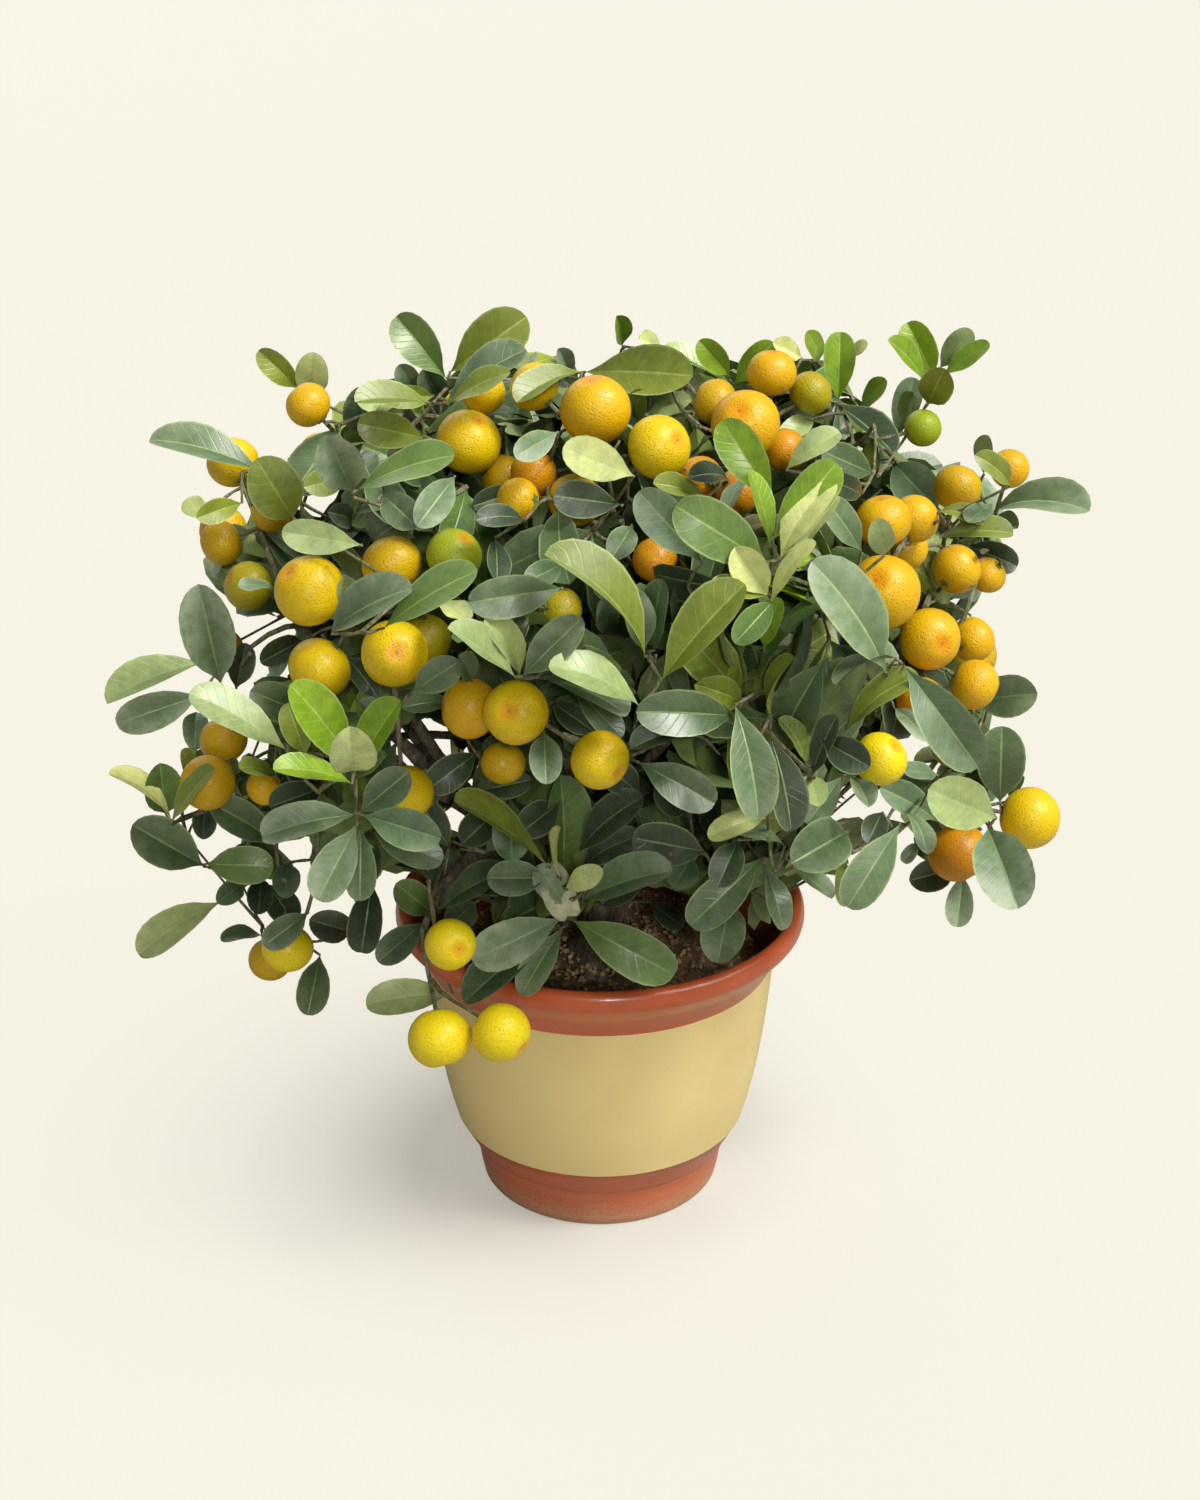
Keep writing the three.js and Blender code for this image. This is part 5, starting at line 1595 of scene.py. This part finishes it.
class Foliage:
    """Leaves set one by one where there is room for them"""

    def __init__(self, crown, prospect):
        self.crown = crown
        self.prospect = prospect
        self.leaves = {kind: [] for kind in LEAF_KINDS}
        self.taken = {}
        self.samples = leaf_samples(5, 5, 0.85)
        self.shown = leaf_samples(11, 21, 0.92)

    def take(self, places):
        for place in places:
            self.taken.setdefault(cell_of(place), []).append(tuple(place))

    def seen_leaf(self, row, draws):
        """A leaf's place and width, which come from the picture, and its depth, from its layer"""
        foot_x, foot_y, tip_x, tip_y, shown, kind, layer = row
        foot = self.prospect.place(foot_x, foot_y, layer, SEEN_DEPTHS[0])
        tip = self.prospect.place(tip_x, tip_y, layer, SEEN_DEPTHS[1])
        depth = (tip - EYE) @ self.prospect.ahead
        width = shown * depth / PICTURE_SCALE
        sight = unit(EYE - (foot + tip) / 2)
        seen_length = np.linalg.norm(np.cross(tip - foot, sight))
        want = max(width * SEEN_LENGTH_SHARE, seen_length, SEEN_LENGTH if shown > SEEN_SLIVER else 0)
        along_sight = (tip - foot).dot(sight)
        nearer = min(along_sight, FORESHORTENED * want)
        if along_sight < 0 or want > seen_length:
            nearer = math.sqrt(want ** 2 - seen_length ** 2)
        tip = tip + sight * (nearer - along_sight)
        chord = np.linalg.norm(tip - foot)
        way = (tip - foot) / chord
        face = unit(sight - way * sight.dot(way))
        side = np.cross(way, face)
        full = max(width, SEEN_WIDTH_SHARE * chord)
        roll = math.acos(min(1, width / full))
        turned = [face * math.cos(roll) + side * sign * math.sin(roll) for sign in (-1, 1)]
        face = max(turned, key=lambda one: one[2])
        leaf = drawn(draws, SEEN_LEAF, DRY_LEAF if kind == "dry" else {})
        half = leaf["curl"] / 2
        return sight, leaf | {
            "root": foot, "way": way * math.cos(half) + face * math.sin(half),
            "face": face * math.cos(half) - way * math.sin(half), "seen": True,
            "length": SEEN_GROWTH * chord * half / math.sin(half),
            "width": SEEN_GROWTH * full / math.cos(leaf["fold"]),
        }

    def set_seen(self, row, draws):
        """Sets a leaf that is seen, moved along its line of sight until it stands clear"""
        sight, leaf = self.seen_leaf(row, draws)
        kind, layer = row[5:]
        step = sight * (SEEN_STEP if layer > 1 else -SEEN_STEP)
        for _ in range(SEEN_TRIES):
            places = bent_leaf(self.shown, leaf)
            if in_pot_wall(places).any():
                leaf["root"] = leaf["root"] + sight * POT_CLEARANCE
            elif in_fruit(self.crown.fruits, places, 0.5).any() and leaf["root"][1] > NEAREST_Y:
                leaf["root"] = leaf["root"] + step
            else:
                break
        self.prospect.show(places)
        self.leaves[kind].append(leaf)
        self.take(bent_leaf(self.samples, leaf))
        return leaf

    def crowded(self, places):
        for place in places:
            x, y, z = cell_of(place)
            for i in (x - 1, x, x + 1):
                for j in (y - 1, y, y + 1):
                    for k in (z - 1, z, z + 1):
                        for other in self.taken.get((i, j, k), ()):
                            if math.dist(place, other) < LEAF_GAP:
                                return True
        return False

    def fits(self, leaf, mass, stands_out):
        places = bent_leaf(self.samples, leaf)
        reach = OUTSTANDING_REACH if stands_out else 1.0
        if (crown_share(places) > reach).any() or places[:, 2].max() > CROWN_TOP:
            return False
        if (self.crown.depth(places, mass.index) < -LEAF_OVERLAP).any() or touches_pot(places).any():
            return False
        if self.prospect.is_open(places) or self.prospect.would_hide(places, 1):
            return False
        if self.crown.touches_limb(places, LEAF_CLEARANCE).any():
            return False
        if in_fruit(self.crown.fruits, places, LEAF_CLEARANCE).any():
            return False
        away = np.linalg.norm(places - leaf["root"], axis=1)
        outer = places[away > LEAF_OUTER]
        if mass.near_twig(places[away > LEAF_FREE], LEAF_GAP).any() or self.crowded(outer):
            return False
        self.take(outer)
        return True

    def set_shoot(self, shoot, mass, draws, count):
        """Sets leaves in a spiral round a twig's end, each turned until it fits"""
        end, direction, kind, stands_out, length, twig = shoot
        kind = draws.choice(["old", "old", "mid", "dark"]) if kind == "fruit" else kind
        shoot_tone = draws.uniform(0.1, 0.9)
        if not stands_out and self.prospect.would_hide(end[None], 0):
            return
        aside = unit(np.cross((0, 1, 0), direction))
        beyond = np.cross(direction, aside)
        turn_start = draws.uniform(0, 2 * math.pi)
        back = 1.0
        for i in range(count):
            root = end - direction * min(back, 0.92 * length)
            back += draws.uniform(*LEAF_STEPS[i >= TIP_LEAVES])
            first, more, most = LEAF_SPREAD
            spread = math.radians(min(first + more * i, most) + draws.uniform(*LEAF_SPREAD_CHANGE))
            size = draws.uniform(*LEAF_LENGTH) * (1 if i else TIP_LEAF_SHARE)
            size *= YOUNG_LEAF_SHARE if kind == "young" else 1
            for turn in range(LEAF_TURNS):
                angle = turn_start + i * GOLDEN_ANGLE + turn * (2 * math.pi / LEAF_TURNS)
                spoke = aside * math.cos(angle) + beyond * math.sin(angle)
                way = direction * math.cos(spread) + spoke * math.sin(spread)
                face = direction + UP * draws.uniform(*LEAF_RISE)
                face = unit(face - way * face.dot(way))
                leaf = drawn(draws, SHOOT_LEAF, {})
                leaf |= {"root": root, "way": way, "face": face, "length": size, "seen": False,
                         "width": size * leaf["width"],
                         "tone": min(1, max(0, shoot_tone + leaf["tone"]))}
                if self.fits(leaf, mass, stands_out):
                    self.leaves[kind].append(leaf)
                    mass.bear(twig, 1 - math.dist(end, root) / length)
                    break


# Sizes and colours that a user may change

def shade(name, description, code):
    """A colour setting, from the six letters of a screen colour"""
    return bpy.props.FloatVectorProperty(
        name=name, description=description, default=screen(code), subtype="COLOR_GAMMA", min=0, max=1)


def size_of(name, description, value):
    return bpy.props.FloatProperty(
        name=name, description=description, default=value * MM, unit="LENGTH", min=0)


class KumquatPotSettings(bpy.types.PropertyGroup):
    terracotta: shade("Terracotta", "Plastic of the lip, collar and foot", "CC5F34")
    scuffs: shade("Scuffs", "Chalky marks at the foot", "C89C7A")
    band: shade("Band", "Satin band round the body", "F0DA98")
    soil: shade("Soil", "Damp potting soil", "BC9C78")
    soil_pale: shade("Pale crumbs", "Dry crumbs on the soil", "DDB88A")
    crumb: bpy.props.IntProperty(
        name="Crumbs", description="Number of loose crumbs", default=CRUMB_COUNT, min=0)


class KumquatPlantSettings(bpy.types.PropertyGroup):
    bark: shade("Bark", "Trunk and boughs", "6E6250")
    bark_pale: shade("Pale bark", "Patches on the bark", "94897A")
    twig: shade("Twigs", "Green twigs", "6E7A3C")
    old: shade("Old leaves", "Blue-green of a grown leaf", "4C663E")
    dusty: shade("Dusty leaves", "Grown leaves with a pale bloom", "5F7A52")
    # The dark kind is painted shade: a darker green for leaves in the crown's shade
    dark: shade("Dark leaves", "Leaves inside the crown", "30422A")
    mid: shade("Leaves in their first year", "Plain leaf green", "64823C")
    olive: shade("Olive leaves", "Leaves that yellow a little", "7F8C2C")
    young: shade("Young leaves", "Bright new growth", "86A628")
    light: shade("Light leaves", "Grown leaves that catch the light", "A3B474")
    pale: shade("Pale leaves", "Yellow-green backs of new leaves", "D8DE94")
    dry: shade("Dry leaves", "Withered leaves that have curled up", "DDD4B8")
    under: shade("Underside", "Pale side of a leaf", "97A75E")
    rib: shade("Rib", "Rib and margin of a leaf", "BCCB94")
    bud: shade("Flower buds", "Closed flowers", "E4EBC8")


class KumquatStageSettings(bpy.types.PropertyGroup):
    floor: shade("Floor", "Plain pale floor", "F6F2E4")
    camera_height: size_of("Camera height", "Above the floor", EYE[2])
    camera_distance: size_of("Camera distance", "In front of the pot", -EYE[1])
    camera_tilt: bpy.props.FloatProperty(
        name="Camera tilt", description="Below the horizon", default=EYE_TILT, subtype="ANGLE")
    lens: bpy.props.FloatProperty(
        name="Lens", description="Focal length", default=PICTURE_SCALE * SENSOR / PICTURE[1], min=1)


# Operators

class KUMQUAT_OT_stage(bpy.types.Operator):
    """Sets the floor, the light and the camera"""
    bl_idname = "kumquat.stage"
    bl_label = "Stage"

    def execute(self, context):
        settings = context.scene.kumquat_stage
        camera = bpy.data.cameras.new("camera")
        camera.lens = settings.lens
        camera.sensor_width = SENSOR
        eye = bpy.data.objects.new("camera", camera)
        eye.location = (0, -settings.camera_distance, settings.camera_height)
        eye.rotation_euler = (math.pi / 2 - settings.camera_tilt, 0, 0)
        context.scene.collection.objects.link(eye)
        context.scene.camera = eye

        floor = start(bpy.ops.mesh.primitive_circle_add, vertices=96, radius=40, fill_type="NGON")
        done("floor")
        floor.data.materials.append(floor_paint(settings))

        world = bpy.data.worlds.new("studio")
        world.use_nodes = True
        nodes = Nodes(world.node_tree)
        nodes.tree.nodes.remove(nodes.tree.nodes["Background"])
        seen = nodes.node("Background", {}, {"Color": linear(settings.floor), "Strength": 1})
        lit = nodes.node("Background", {}, {"Color": SKY_COLOUR, "Strength": SKY_STRENGTH})
        nodes.seen_or_lit(seen, lit, nodes.tree.nodes["World Output"])
        context.scene.world = world

        for name, towards, strength, spread in LAMPS:
            lamp = bpy.data.lights.new(name, "SUN")
            lamp.energy = strength
            lamp.angle = math.radians(spread)
            lamp.color = LAMP_COLOUR
            holder = bpy.data.objects.new(name, lamp)
            holder.rotation_euler = Vector(towards).to_track_quat("Z", "Y").to_euler()
            context.scene.collection.objects.link(holder)
        context.scene.view_settings.view_transform = "Standard"
        return {"FINISHED"}


class KUMQUAT_OT_pot(bpy.types.Operator):
    """Makes the lipped pot with its satin band"""
    bl_idname = "kumquat.pot"
    bl_label = "Pot"

    def execute(self, context):
        settings = context.scene.kumquat_pot
        outline = POT_OUTSIDE + POT_INSIDE
        pot = start_ring(POT_SIDES, outline[0])
        raise_rings(outline)
        bpy.ops.mesh.edge_face_add()
        select(pot, lambda co: co.z < 1e-6 and math.hypot(co.x, co.y) > (outline[0][0] - 0.1) * MM)
        bpy.ops.mesh.edge_face_add()
        face_outwards()
        done("plastic_pot")
        for hole in range(DRAIN_HOLES):
            angle = hole / DRAIN_HOLES * 2 * math.pi
            centre = (DRAIN_RING * MM * math.cos(angle), DRAIN_RING * MM * math.sin(angle), 0)
            drill = start(bpy.ops.mesh.primitive_cylinder_add, vertices=24, radius=DRAIN_RADIUS * MM,
                          depth=DRAIN_DEPTH * MM, location=centre)
            done("drill")
            modify(pot, "BOOLEAN", object=drill, operation="DIFFERENCE", solver="EXACT")
            bpy.data.objects.remove(drill)
        middles = read(pot.data.polygons, "center", 3) / MM
        out, height = out_from_pot(middles), middles[:, 2]
        wall = np.interp(height, *zip(*[(z, r) for r, z in reversed(POT_INSIDE)]))
        inside = (out < wall + LINING_SLACK) & (height > LINING_EDGES[0]) & (height < LINING_EDGES[1])
        inside |= (out < LINED_FLOOR[0]) & (height > LINED_FLOOR[1])
        banded = ~inside & (height > BAND_EDGES[0]) & (height < BAND_EDGES[1])
        pot.data.polygons.foreach_set("material_index", (banded + 2 * inside).astype(np.int32))
        materials = [terracotta(settings), cream_band(settings), pot_lining(settings)]
        finish_piece(pot, materials, ["pot"], 32)
        return {"FINISHED"}


class KUMQUAT_OT_soil(bpy.types.Operator):
    """Makes the heaped soil and its loose crumbs"""
    bl_idname = "kumquat.soil"
    bl_label = "Soil"

    def surface(self, x, y):
        """Height of the soil at a place: a low heap with lumps and grit, level at its edge"""
        out = math.hypot(x, y) / SOIL_SIDE[-1][0]
        height = np.interp(out, *zip(*reversed(SOIL_RISE)))
        lumps = noise.noise(Vector((x / 17, y / 17, 3))) + 0.6 * noise.noise(Vector((x / 7, y / 7, 9)))
        grit = noise.noise(Vector((x / 2.6, y / 2.6, 1)))
        fade = min(1, (1 - out) * 9)
        return height + (SOIL_LUMP * lumps + SOIL_GRIT * grit) * fade

    def bed(self):
        edge, edge_height = SOIL_SIDE[-1]
        soil = start_ring(SOIL_SIDES, SOIL_SIDE[0])
        rings = [(edge * (1 - step / SOIL_RINGS), edge_height) for step in range(1, SOIL_RINGS)]
        raise_rings(SOIL_SIDE + rings)
        bpy.ops.mesh.merge(type="CENTER")
        select(soil, lambda co: co.z < (SOIL_FLOOR + 0.1) * MM)
        bpy.ops.mesh.edge_face_add()
        face_outwards()
        done("soil_bed")
        points = points_of(soil.data)
        for place in points:
            if place[2] > edge_height - 0.01:
                place[2] = self.surface(place[0], place[1])
        set_points(soil.data, points)
        return soil

    def crumbs(self, count):
        start(bpy.ops.mesh.primitive_ico_sphere_add, subdivisions=1, radius=1)
        crumb = Shape(done("crumb"))
        draws = random.Random(SEEDS["crumbs"])
        crumbs = Joined()
        for _ in range(count):
            out = SOIL_SIDE[-1][0] * math.sqrt(draws.random()) * CRUMB_SPREAD
            angle = draws.uniform(0, 2 * math.pi)
            x, y = out * math.cos(angle), out * math.sin(angle)
            if np.hypot(x, y) < CRUMB_FREE:
                continue
            size = between(CRUMB_SIZE, draws.random() ** 2.2)
            scale = three(draws, 0.6, 1.2) * size / 2
            tilt = Matrix.Rotation(draws.uniform(0, 6), 3, "X")
            turn = np.array(tilt @ Matrix.Rotation(draws.uniform(0, 6), 3, "Z"))
            rough = crumb.points * np.array([[draws.uniform(0.75, 1.2)] for _ in crumb.points])
            place = np.array([x, y, self.surface(x, y) + size * 0.12])
            slot = draws.choices((0, 1, 2), CRUMB_WEIGHTS)[0]
            crumbs.add(crumb, (rough * scale) @ turn.T + place, slot)
        return crumbs.build("soil_crumbs")

    def execute(self, context):
        settings = context.scene.kumquat_pot
        finish_piece(self.bed(), [earth("damp_soil", settings.soil, 0.4)], ["soil"], 60)
        crumbs = self.crumbs(settings.crumb)
        middle = blend(settings.soil, settings.soil_pale, 0.5)
        materials = [earth("dark_crumbs", settings.soil, 0.5), earth("brown_crumbs", middle, 0.6),
                     earth("pale_crumbs", settings.soil_pale, 0.7)]
        finish_piece(crumbs, materials, ["soil"], 35)
        return {"FINISHED"}


class KUMQUAT_OT_wood(bpy.types.Operator):
    """Makes the trunk and boughs with their bark"""
    bl_idname = "kumquat.wood"
    bl_label = "Trunk and boughs"

    def trunk(self):
        lean = TRUNK_TOP - TRUNK_FOOT
        foot_share, foot_radius = TRUNK_RINGS[0]
        foot = TRUNK_FOOT + lean * foot_share
        trunk = start(bpy.ops.mesh.primitive_circle_add, vertices=60, radius=foot_radius * MM,
                      fill_type="NGON", location=tuple(foot * MM))
        bpy.ops.mesh.select_all(action="SELECT")
        for (share, radius), (next_share, next_radius) in zip(TRUNK_RINGS, TRUNK_RINGS[1:]):
            step = lean * (next_share - share) * MM
            bpy.ops.mesh.extrude_region_move(TRANSFORM_OT_translate={"value": tuple(step)})
            middle = tuple((TRUNK_FOOT + lean * next_share) * MM)
            ratio = next_radius / radius
            bpy.ops.transform.resize(value=(ratio, ratio, 1), center_override=middle)
        face_outwards()
        done("trunk_core")
        points = points_of(trunk.data)
        for place in points:
            share = (place[2] - TRUNK_FOOT[2]) / lean[2]
            centre = TRUNK_FOOT + lean * share
            angle = math.atan2(place[1] - centre[1], place[0] - centre[0])
            flare = FLARE_DEPTH * min(1, max(0, 1 - share)) ** 6
            swell = 1 + flare * math.cos(FLARE_ROOTS * angle) + 0.05 * math.sin(2 * angle + 6 * share)
            place[:2] = centre[:2] + (place[:2] - centre[:2]) * swell
        set_points(trunk.data, points)
        return trunk

    def limb(self, curve, radii, heart, draws):
        """A row of points and radii that sways and has knots; a bough's goes on to its mass's heart"""
        steps, reach = LIMB_SWAY if heart is None else BOUGH_SWAY
        points, widths = [], []
        sway = [draws.uniform(-1, 1) for _ in range(4)]
        for step in range(steps + 1):
            share = step / steps
            off = math.sin(share * math.pi) * reach
            jog = (sway[0] * math.sin(9 * share + sway[3] * 3), sway[1] * math.sin(7 * share), sway[2] * 0.4)
            points.append(point_on(curve, share) + np.array(jog) * off)
            knot = 1 + 0.06 * math.sin(17 * share + 9 * sway[0]) + (0.25 * (1 - share) ** 8)
            widths.append(between(radii, share) * knot)
        if heart is not None:
            for share in STEM_STEPS:
                points.append(curve[2] + (heart - curve[2]) * share)
                widths.append(between((radii[1], STEM_TIP_RADIUS), share))
        return points, widths, 0

    def carve(self, piece):
        """Lumps and fissures along the grain, deepest on the trunk"""
        points = points_of(piece.data)
        relief = np.empty(len(points))
        for i, (x, y, z) in enumerate(points):
            fissure = abs(noise.noise(Vector((x / 2.4, y / 2.4, z / 9))))
            lump = noise.noise(Vector((x / 9, y / 9, z / 12)))
            thick = 1.0 if z < 190 and x * x + y * y < 700 else 0.4
            relief[i] = thick * (BARK_LUMP * lump - BARK_FISSURE * fissure)
        set_points(piece.data, points + read(piece.data.vertices, "normal", 3) * relief[:, None])

    def execute(self, context):
        settings = context.scene.kumquat_plant
        hearts = {"bough_" + row[0]: np.array(row[1], float) for row in MASSES}
        draws = random.Random(SEEDS["limbs"])
        rows = [self.limb(curve, radii, hearts.get(name), draws)
                for name, (curve, radii, _) in plant_limbs().items() if name != "trunk"]
        piece = branches("bark", rows, 4)
        join(piece, self.trunk())
        modify(piece, "REMESH", mode="VOXEL", voxel_size=BARK_VOXEL * MM, use_smooth_shade=True)
        modify(piece, "SMOOTH", factor=0.5, iterations=2)
        self.carve(piece)
        finish_piece(piece, [bark("bark", settings.bark, settings.bark_pale, 2.6)], WOOD_NODES, 70)
        return {"FINISHED"}


class KUMQUAT_OT_crown(bpy.types.Operator):
    """Grows the twigs, leaves, fruit and flower buds"""
    bl_idname = "kumquat.crown"
    bl_label = "Twigs, leaves and fruit"

    def twigs(self, settings, prospect, masses):
        rows = []
        draws = random.Random(SEEDS["twigs"])
        for mass in masses:
            for foot, end, parent_way, finer in mass.bearing_twigs():
                length = np.linalg.norm(end - foot)
                way = (end - foot) / length
                bow = parent_way - way * parent_way.dot(way)
                bow = bow * length * 0.12 + three(draws, -1, 1) * length * TWIG_BOW
                radii = FINER_RADII if finer else TWIG_RADII
                points, widths = [], []
                steps = max(4, int(length / 9))
                for step in range(steps + 1):
                    share = step / steps
                    swell = 1 + 0.16 * math.cos(share * math.pi * 2 * max(2, round(length / 11)))
                    off = bow * math.sin(math.pi * share) * (1 - share)
                    points.append(foot + (end - foot) * share + off)
                    widths.append(between(radii, share) * swell)
                rows.append((drawn_back(np.array(points), prospect), widths, 1 if finer else 0))
        piece = branches("twigs", rows, 1)
        woody = blend(settings.bark, settings.twig, 0.65)
        materials = [bark("brown_twigs", woody, settings.bark_pale, 1.6),
                     plain_plant("green_twigs", settings.twig, 0.6)]
        finish_piece(piece, materials, MASS_NODES, 50)

    def set_leaves(self, foliage, masses):
        draws = random.Random(SEEDS["leaves"])
        jobs = [(shoot, mass) for mass in masses for shoot in mass.shoots]
        jobs.sort(key=lambda job: not job[0][3])
        for shoot, mass in jobs:
            count = 8 if shoot[3] else (3 if shoot[2] == "fruit" else 6)
            foliage.set_shoot(shoot, mass, draws, count)

    def leaves(self, settings, foliage):
        shapes = {False: leaf_shape(LEAF_OUTLINE), True: leaf_shape(SEEN_LEAF_OUTLINE)}
        for kind, (dust, gloss) in LEAF_LOOKS.items():
            colour = getattr(settings, kind)
            rib, under = blend(colour, settings.rib, 0.5), blend(colour, settings.under, 0.55)
            joined = Joined()
            for leaf in foliage.leaves[kind]:
                shape = shapes[leaf["seen"]]
                along = shape.points[:, 1]
                own = [np.full(len(along), leaf[mark]) for mark in ("tone", "film")]
                joined.add(shape, bent_leaf(shape.points, leaf), 0, [along, shape.across, *own])
            piece = joined.build("leaves_" + kind, "along", "across", "tone", "film")
            materials = [leaf_face("leaf_" + kind, colour, dust, gloss),
                         leaf_face("rib_" + kind, rib, dust * 0.4, gloss + 0.05, 0),
                         leaf_face("under_" + kind, under, 0.12, 0.55)]
            finish_piece(piece, materials, MASS_NODES, 18)

    def fruit_shape(self):
        """A round fruit with a navel below and a dimple for its stalk above, one unit in radius"""
        fruit = start(bpy.ops.mesh.primitive_uv_sphere_add, segments=28, ring_count=20, radius=1)
        for end, depth, reach in FRUIT_ENDS:
            select(fruit, lambda co: co.z * end > 0.999)
            bpy.ops.transform.translate(value=(0, 0, -end * depth), use_proportional_edit=True,
                                        proportional_edit_falloff="SMOOTH", proportional_size=reach)
        return Shape(done("fruit"))

    def calyx_shape(self):
        """The five-lobed star that a stalk ends in, one unit in radius"""
        calyx = start(bpy.ops.mesh.primitive_circle_add, vertices=10, radius=1, fill_type="TRIFAN")
        points = bmesh.from_edit_mesh(calyx.data).verts
        lobes = [vertex.co.copy() for vertex in points if vertex.co.length > 0.5][1::2]
        select(calyx, lambda co: any((co - lobe).length < 0.01 for lobe in lobes))
        bpy.ops.transform.resize(value=(0.5, 0.5, 1), center_override=(0, 0, 0))
        bpy.ops.mesh.select_all(action="SELECT")
        bpy.ops.mesh.extrude_region_move(TRANSFORM_OT_translate={"value": (0, 0, 0.3)})
        bpy.ops.transform.resize(value=(0.8, 0.8, 1), center_override=(0, 0, 0.3))
        face_outwards()
        return Shape(done("calyx"))

    def fruit(self, masses):
        shape, star = self.fruit_shape(), self.calyx_shape()
        draws = random.Random(SEEDS["fruit"])
        fruits, calyxes = Joined(), Joined()
        names = list(RIPENESS)
        marks = (1 - shape.points[:, 2] / np.linalg.norm(shape.points, axis=1)) / 2
        for mass in masses:
            for centre, size, ripeness, stalk in mass.fruits:
                squash = draws.uniform(*FRUIT_SQUASH)
                turn = turn_to(stalk)
                ripple = 0.02 * np.sin(shape.points[:, 0] * 3 + draws.uniform(0, 6))
                lumps = 1 + ripple * np.cos(shape.points[:, 1] * 2.4)
                points = shape.points * lumps[:, None] * (size / 2) * np.array([1, 1, squash])
                fruits.add(shape, points @ turn.T + centre, names.index(ripeness), [marks])
                seat = centre + stalk * size / 2 * squash * 0.9
                calyxes.add(star, (star.points * draws.uniform(*CALYX_RADIUS)) @ turn.T + seat)
        materials = [peel("peel_" + name, *map(screen, codes)) for name, codes in RIPENESS.items()]
        finish_piece(fruits.build("fruit", "navel"), materials, MASS_NODES, 80)
        materials = [plain_plant("calyx", CALYX_COLOUR, 0.6)]
        finish_piece(calyxes.build("calyxes"), materials, MASS_NODES, 40)

    def buds(self, settings, masses):
        start(bpy.ops.mesh.primitive_ico_sphere_add, subdivisions=2, radius=1)
        shape = Shape(done("bud"))
        draws = random.Random(SEEDS["buds"])
        buds = Joined()
        for mass in masses:
            for end, direction, kind, _, _, twig in mass.shoots:
                if kind == "fruit" or mass.bears[twig] < 0.9 or draws.random() > BUD_SHARE:
                    continue
                mass.bear(twig, 1)
                for _ in range(draws.randint(2, 4)):
                    way = unit(direction + three(draws, -0.9, 0.9))
                    length = draws.uniform(*BUD_LENGTH)
                    width = length * BUD_SLIMNESS
                    points = shape.points * np.array([width, width, length])
                    buds.add(shape, points @ turn_to(way).T + end + way * length)
        materials = [plain_plant("bud", settings.bud, 0.5)]
        finish_piece(buds.build("flower_buds"), materials, MASS_NODES, 60)

    def execute(self, context):
        settings = context.scene.kumquat_plant
        foliage, masses = grow_crown()
        self.set_leaves(foliage, masses)
        self.leaves(settings, foliage)
        self.fruit(masses)
        self.buds(settings, masses)
        self.twigs(settings, foliage.prospect, masses)
        return {"FINISHED"}


OPERATORS = [KUMQUAT_OT_stage, KUMQUAT_OT_pot, KUMQUAT_OT_soil, KUMQUAT_OT_wood, KUMQUAT_OT_crown]


class KUMQUAT_PT_parts(bpy.types.Panel):
    """The parts of the potted kumquat"""
    bl_idname = "KUMQUAT_PT_parts"
    bl_label = "Potted kumquat"
    bl_space_type = "VIEW_3D"
    bl_region_type = "UI"
    bl_category = "Kumquat"

    def draw(self, context):
        scene = context.scene
        for group in (scene.kumquat_stage, scene.kumquat_pot, scene.kumquat_plant):
            box = self.layout.box()
            for name in group.__annotations__:
                box.prop(group, name)
        for operator in OPERATORS:
            self.layout.operator(operator.bl_idname)


CLASSES = [KumquatPotSettings, KumquatPlantSettings, KumquatStageSettings, *OPERATORS, KUMQUAT_PT_parts]


def register():
    for kind in CLASSES:
        bpy.utils.register_class(kind)
    bpy.types.Scene.kumquat_pot = bpy.props.PointerProperty(type=KumquatPotSettings)
    bpy.types.Scene.kumquat_plant = bpy.props.PointerProperty(type=KumquatPlantSettings)
    bpy.types.Scene.kumquat_stage = bpy.props.PointerProperty(type=KumquatStageSettings)


def unregister():
    for name in ("kumquat_pot", "kumquat_plant", "kumquat_stage"):
        delattr(bpy.types.Scene, name)
    for kind in reversed(CLASSES):
        bpy.utils.unregister_class(kind)


def main():
    register()
    bpy.ops.kumquat.stage()
    bpy.ops.kumquat.pot()
    bpy.ops.kumquat.soil()
    bpy.ops.kumquat.wood()
    bpy.ops.kumquat.crown()


if __name__ == "__main__":
    main()
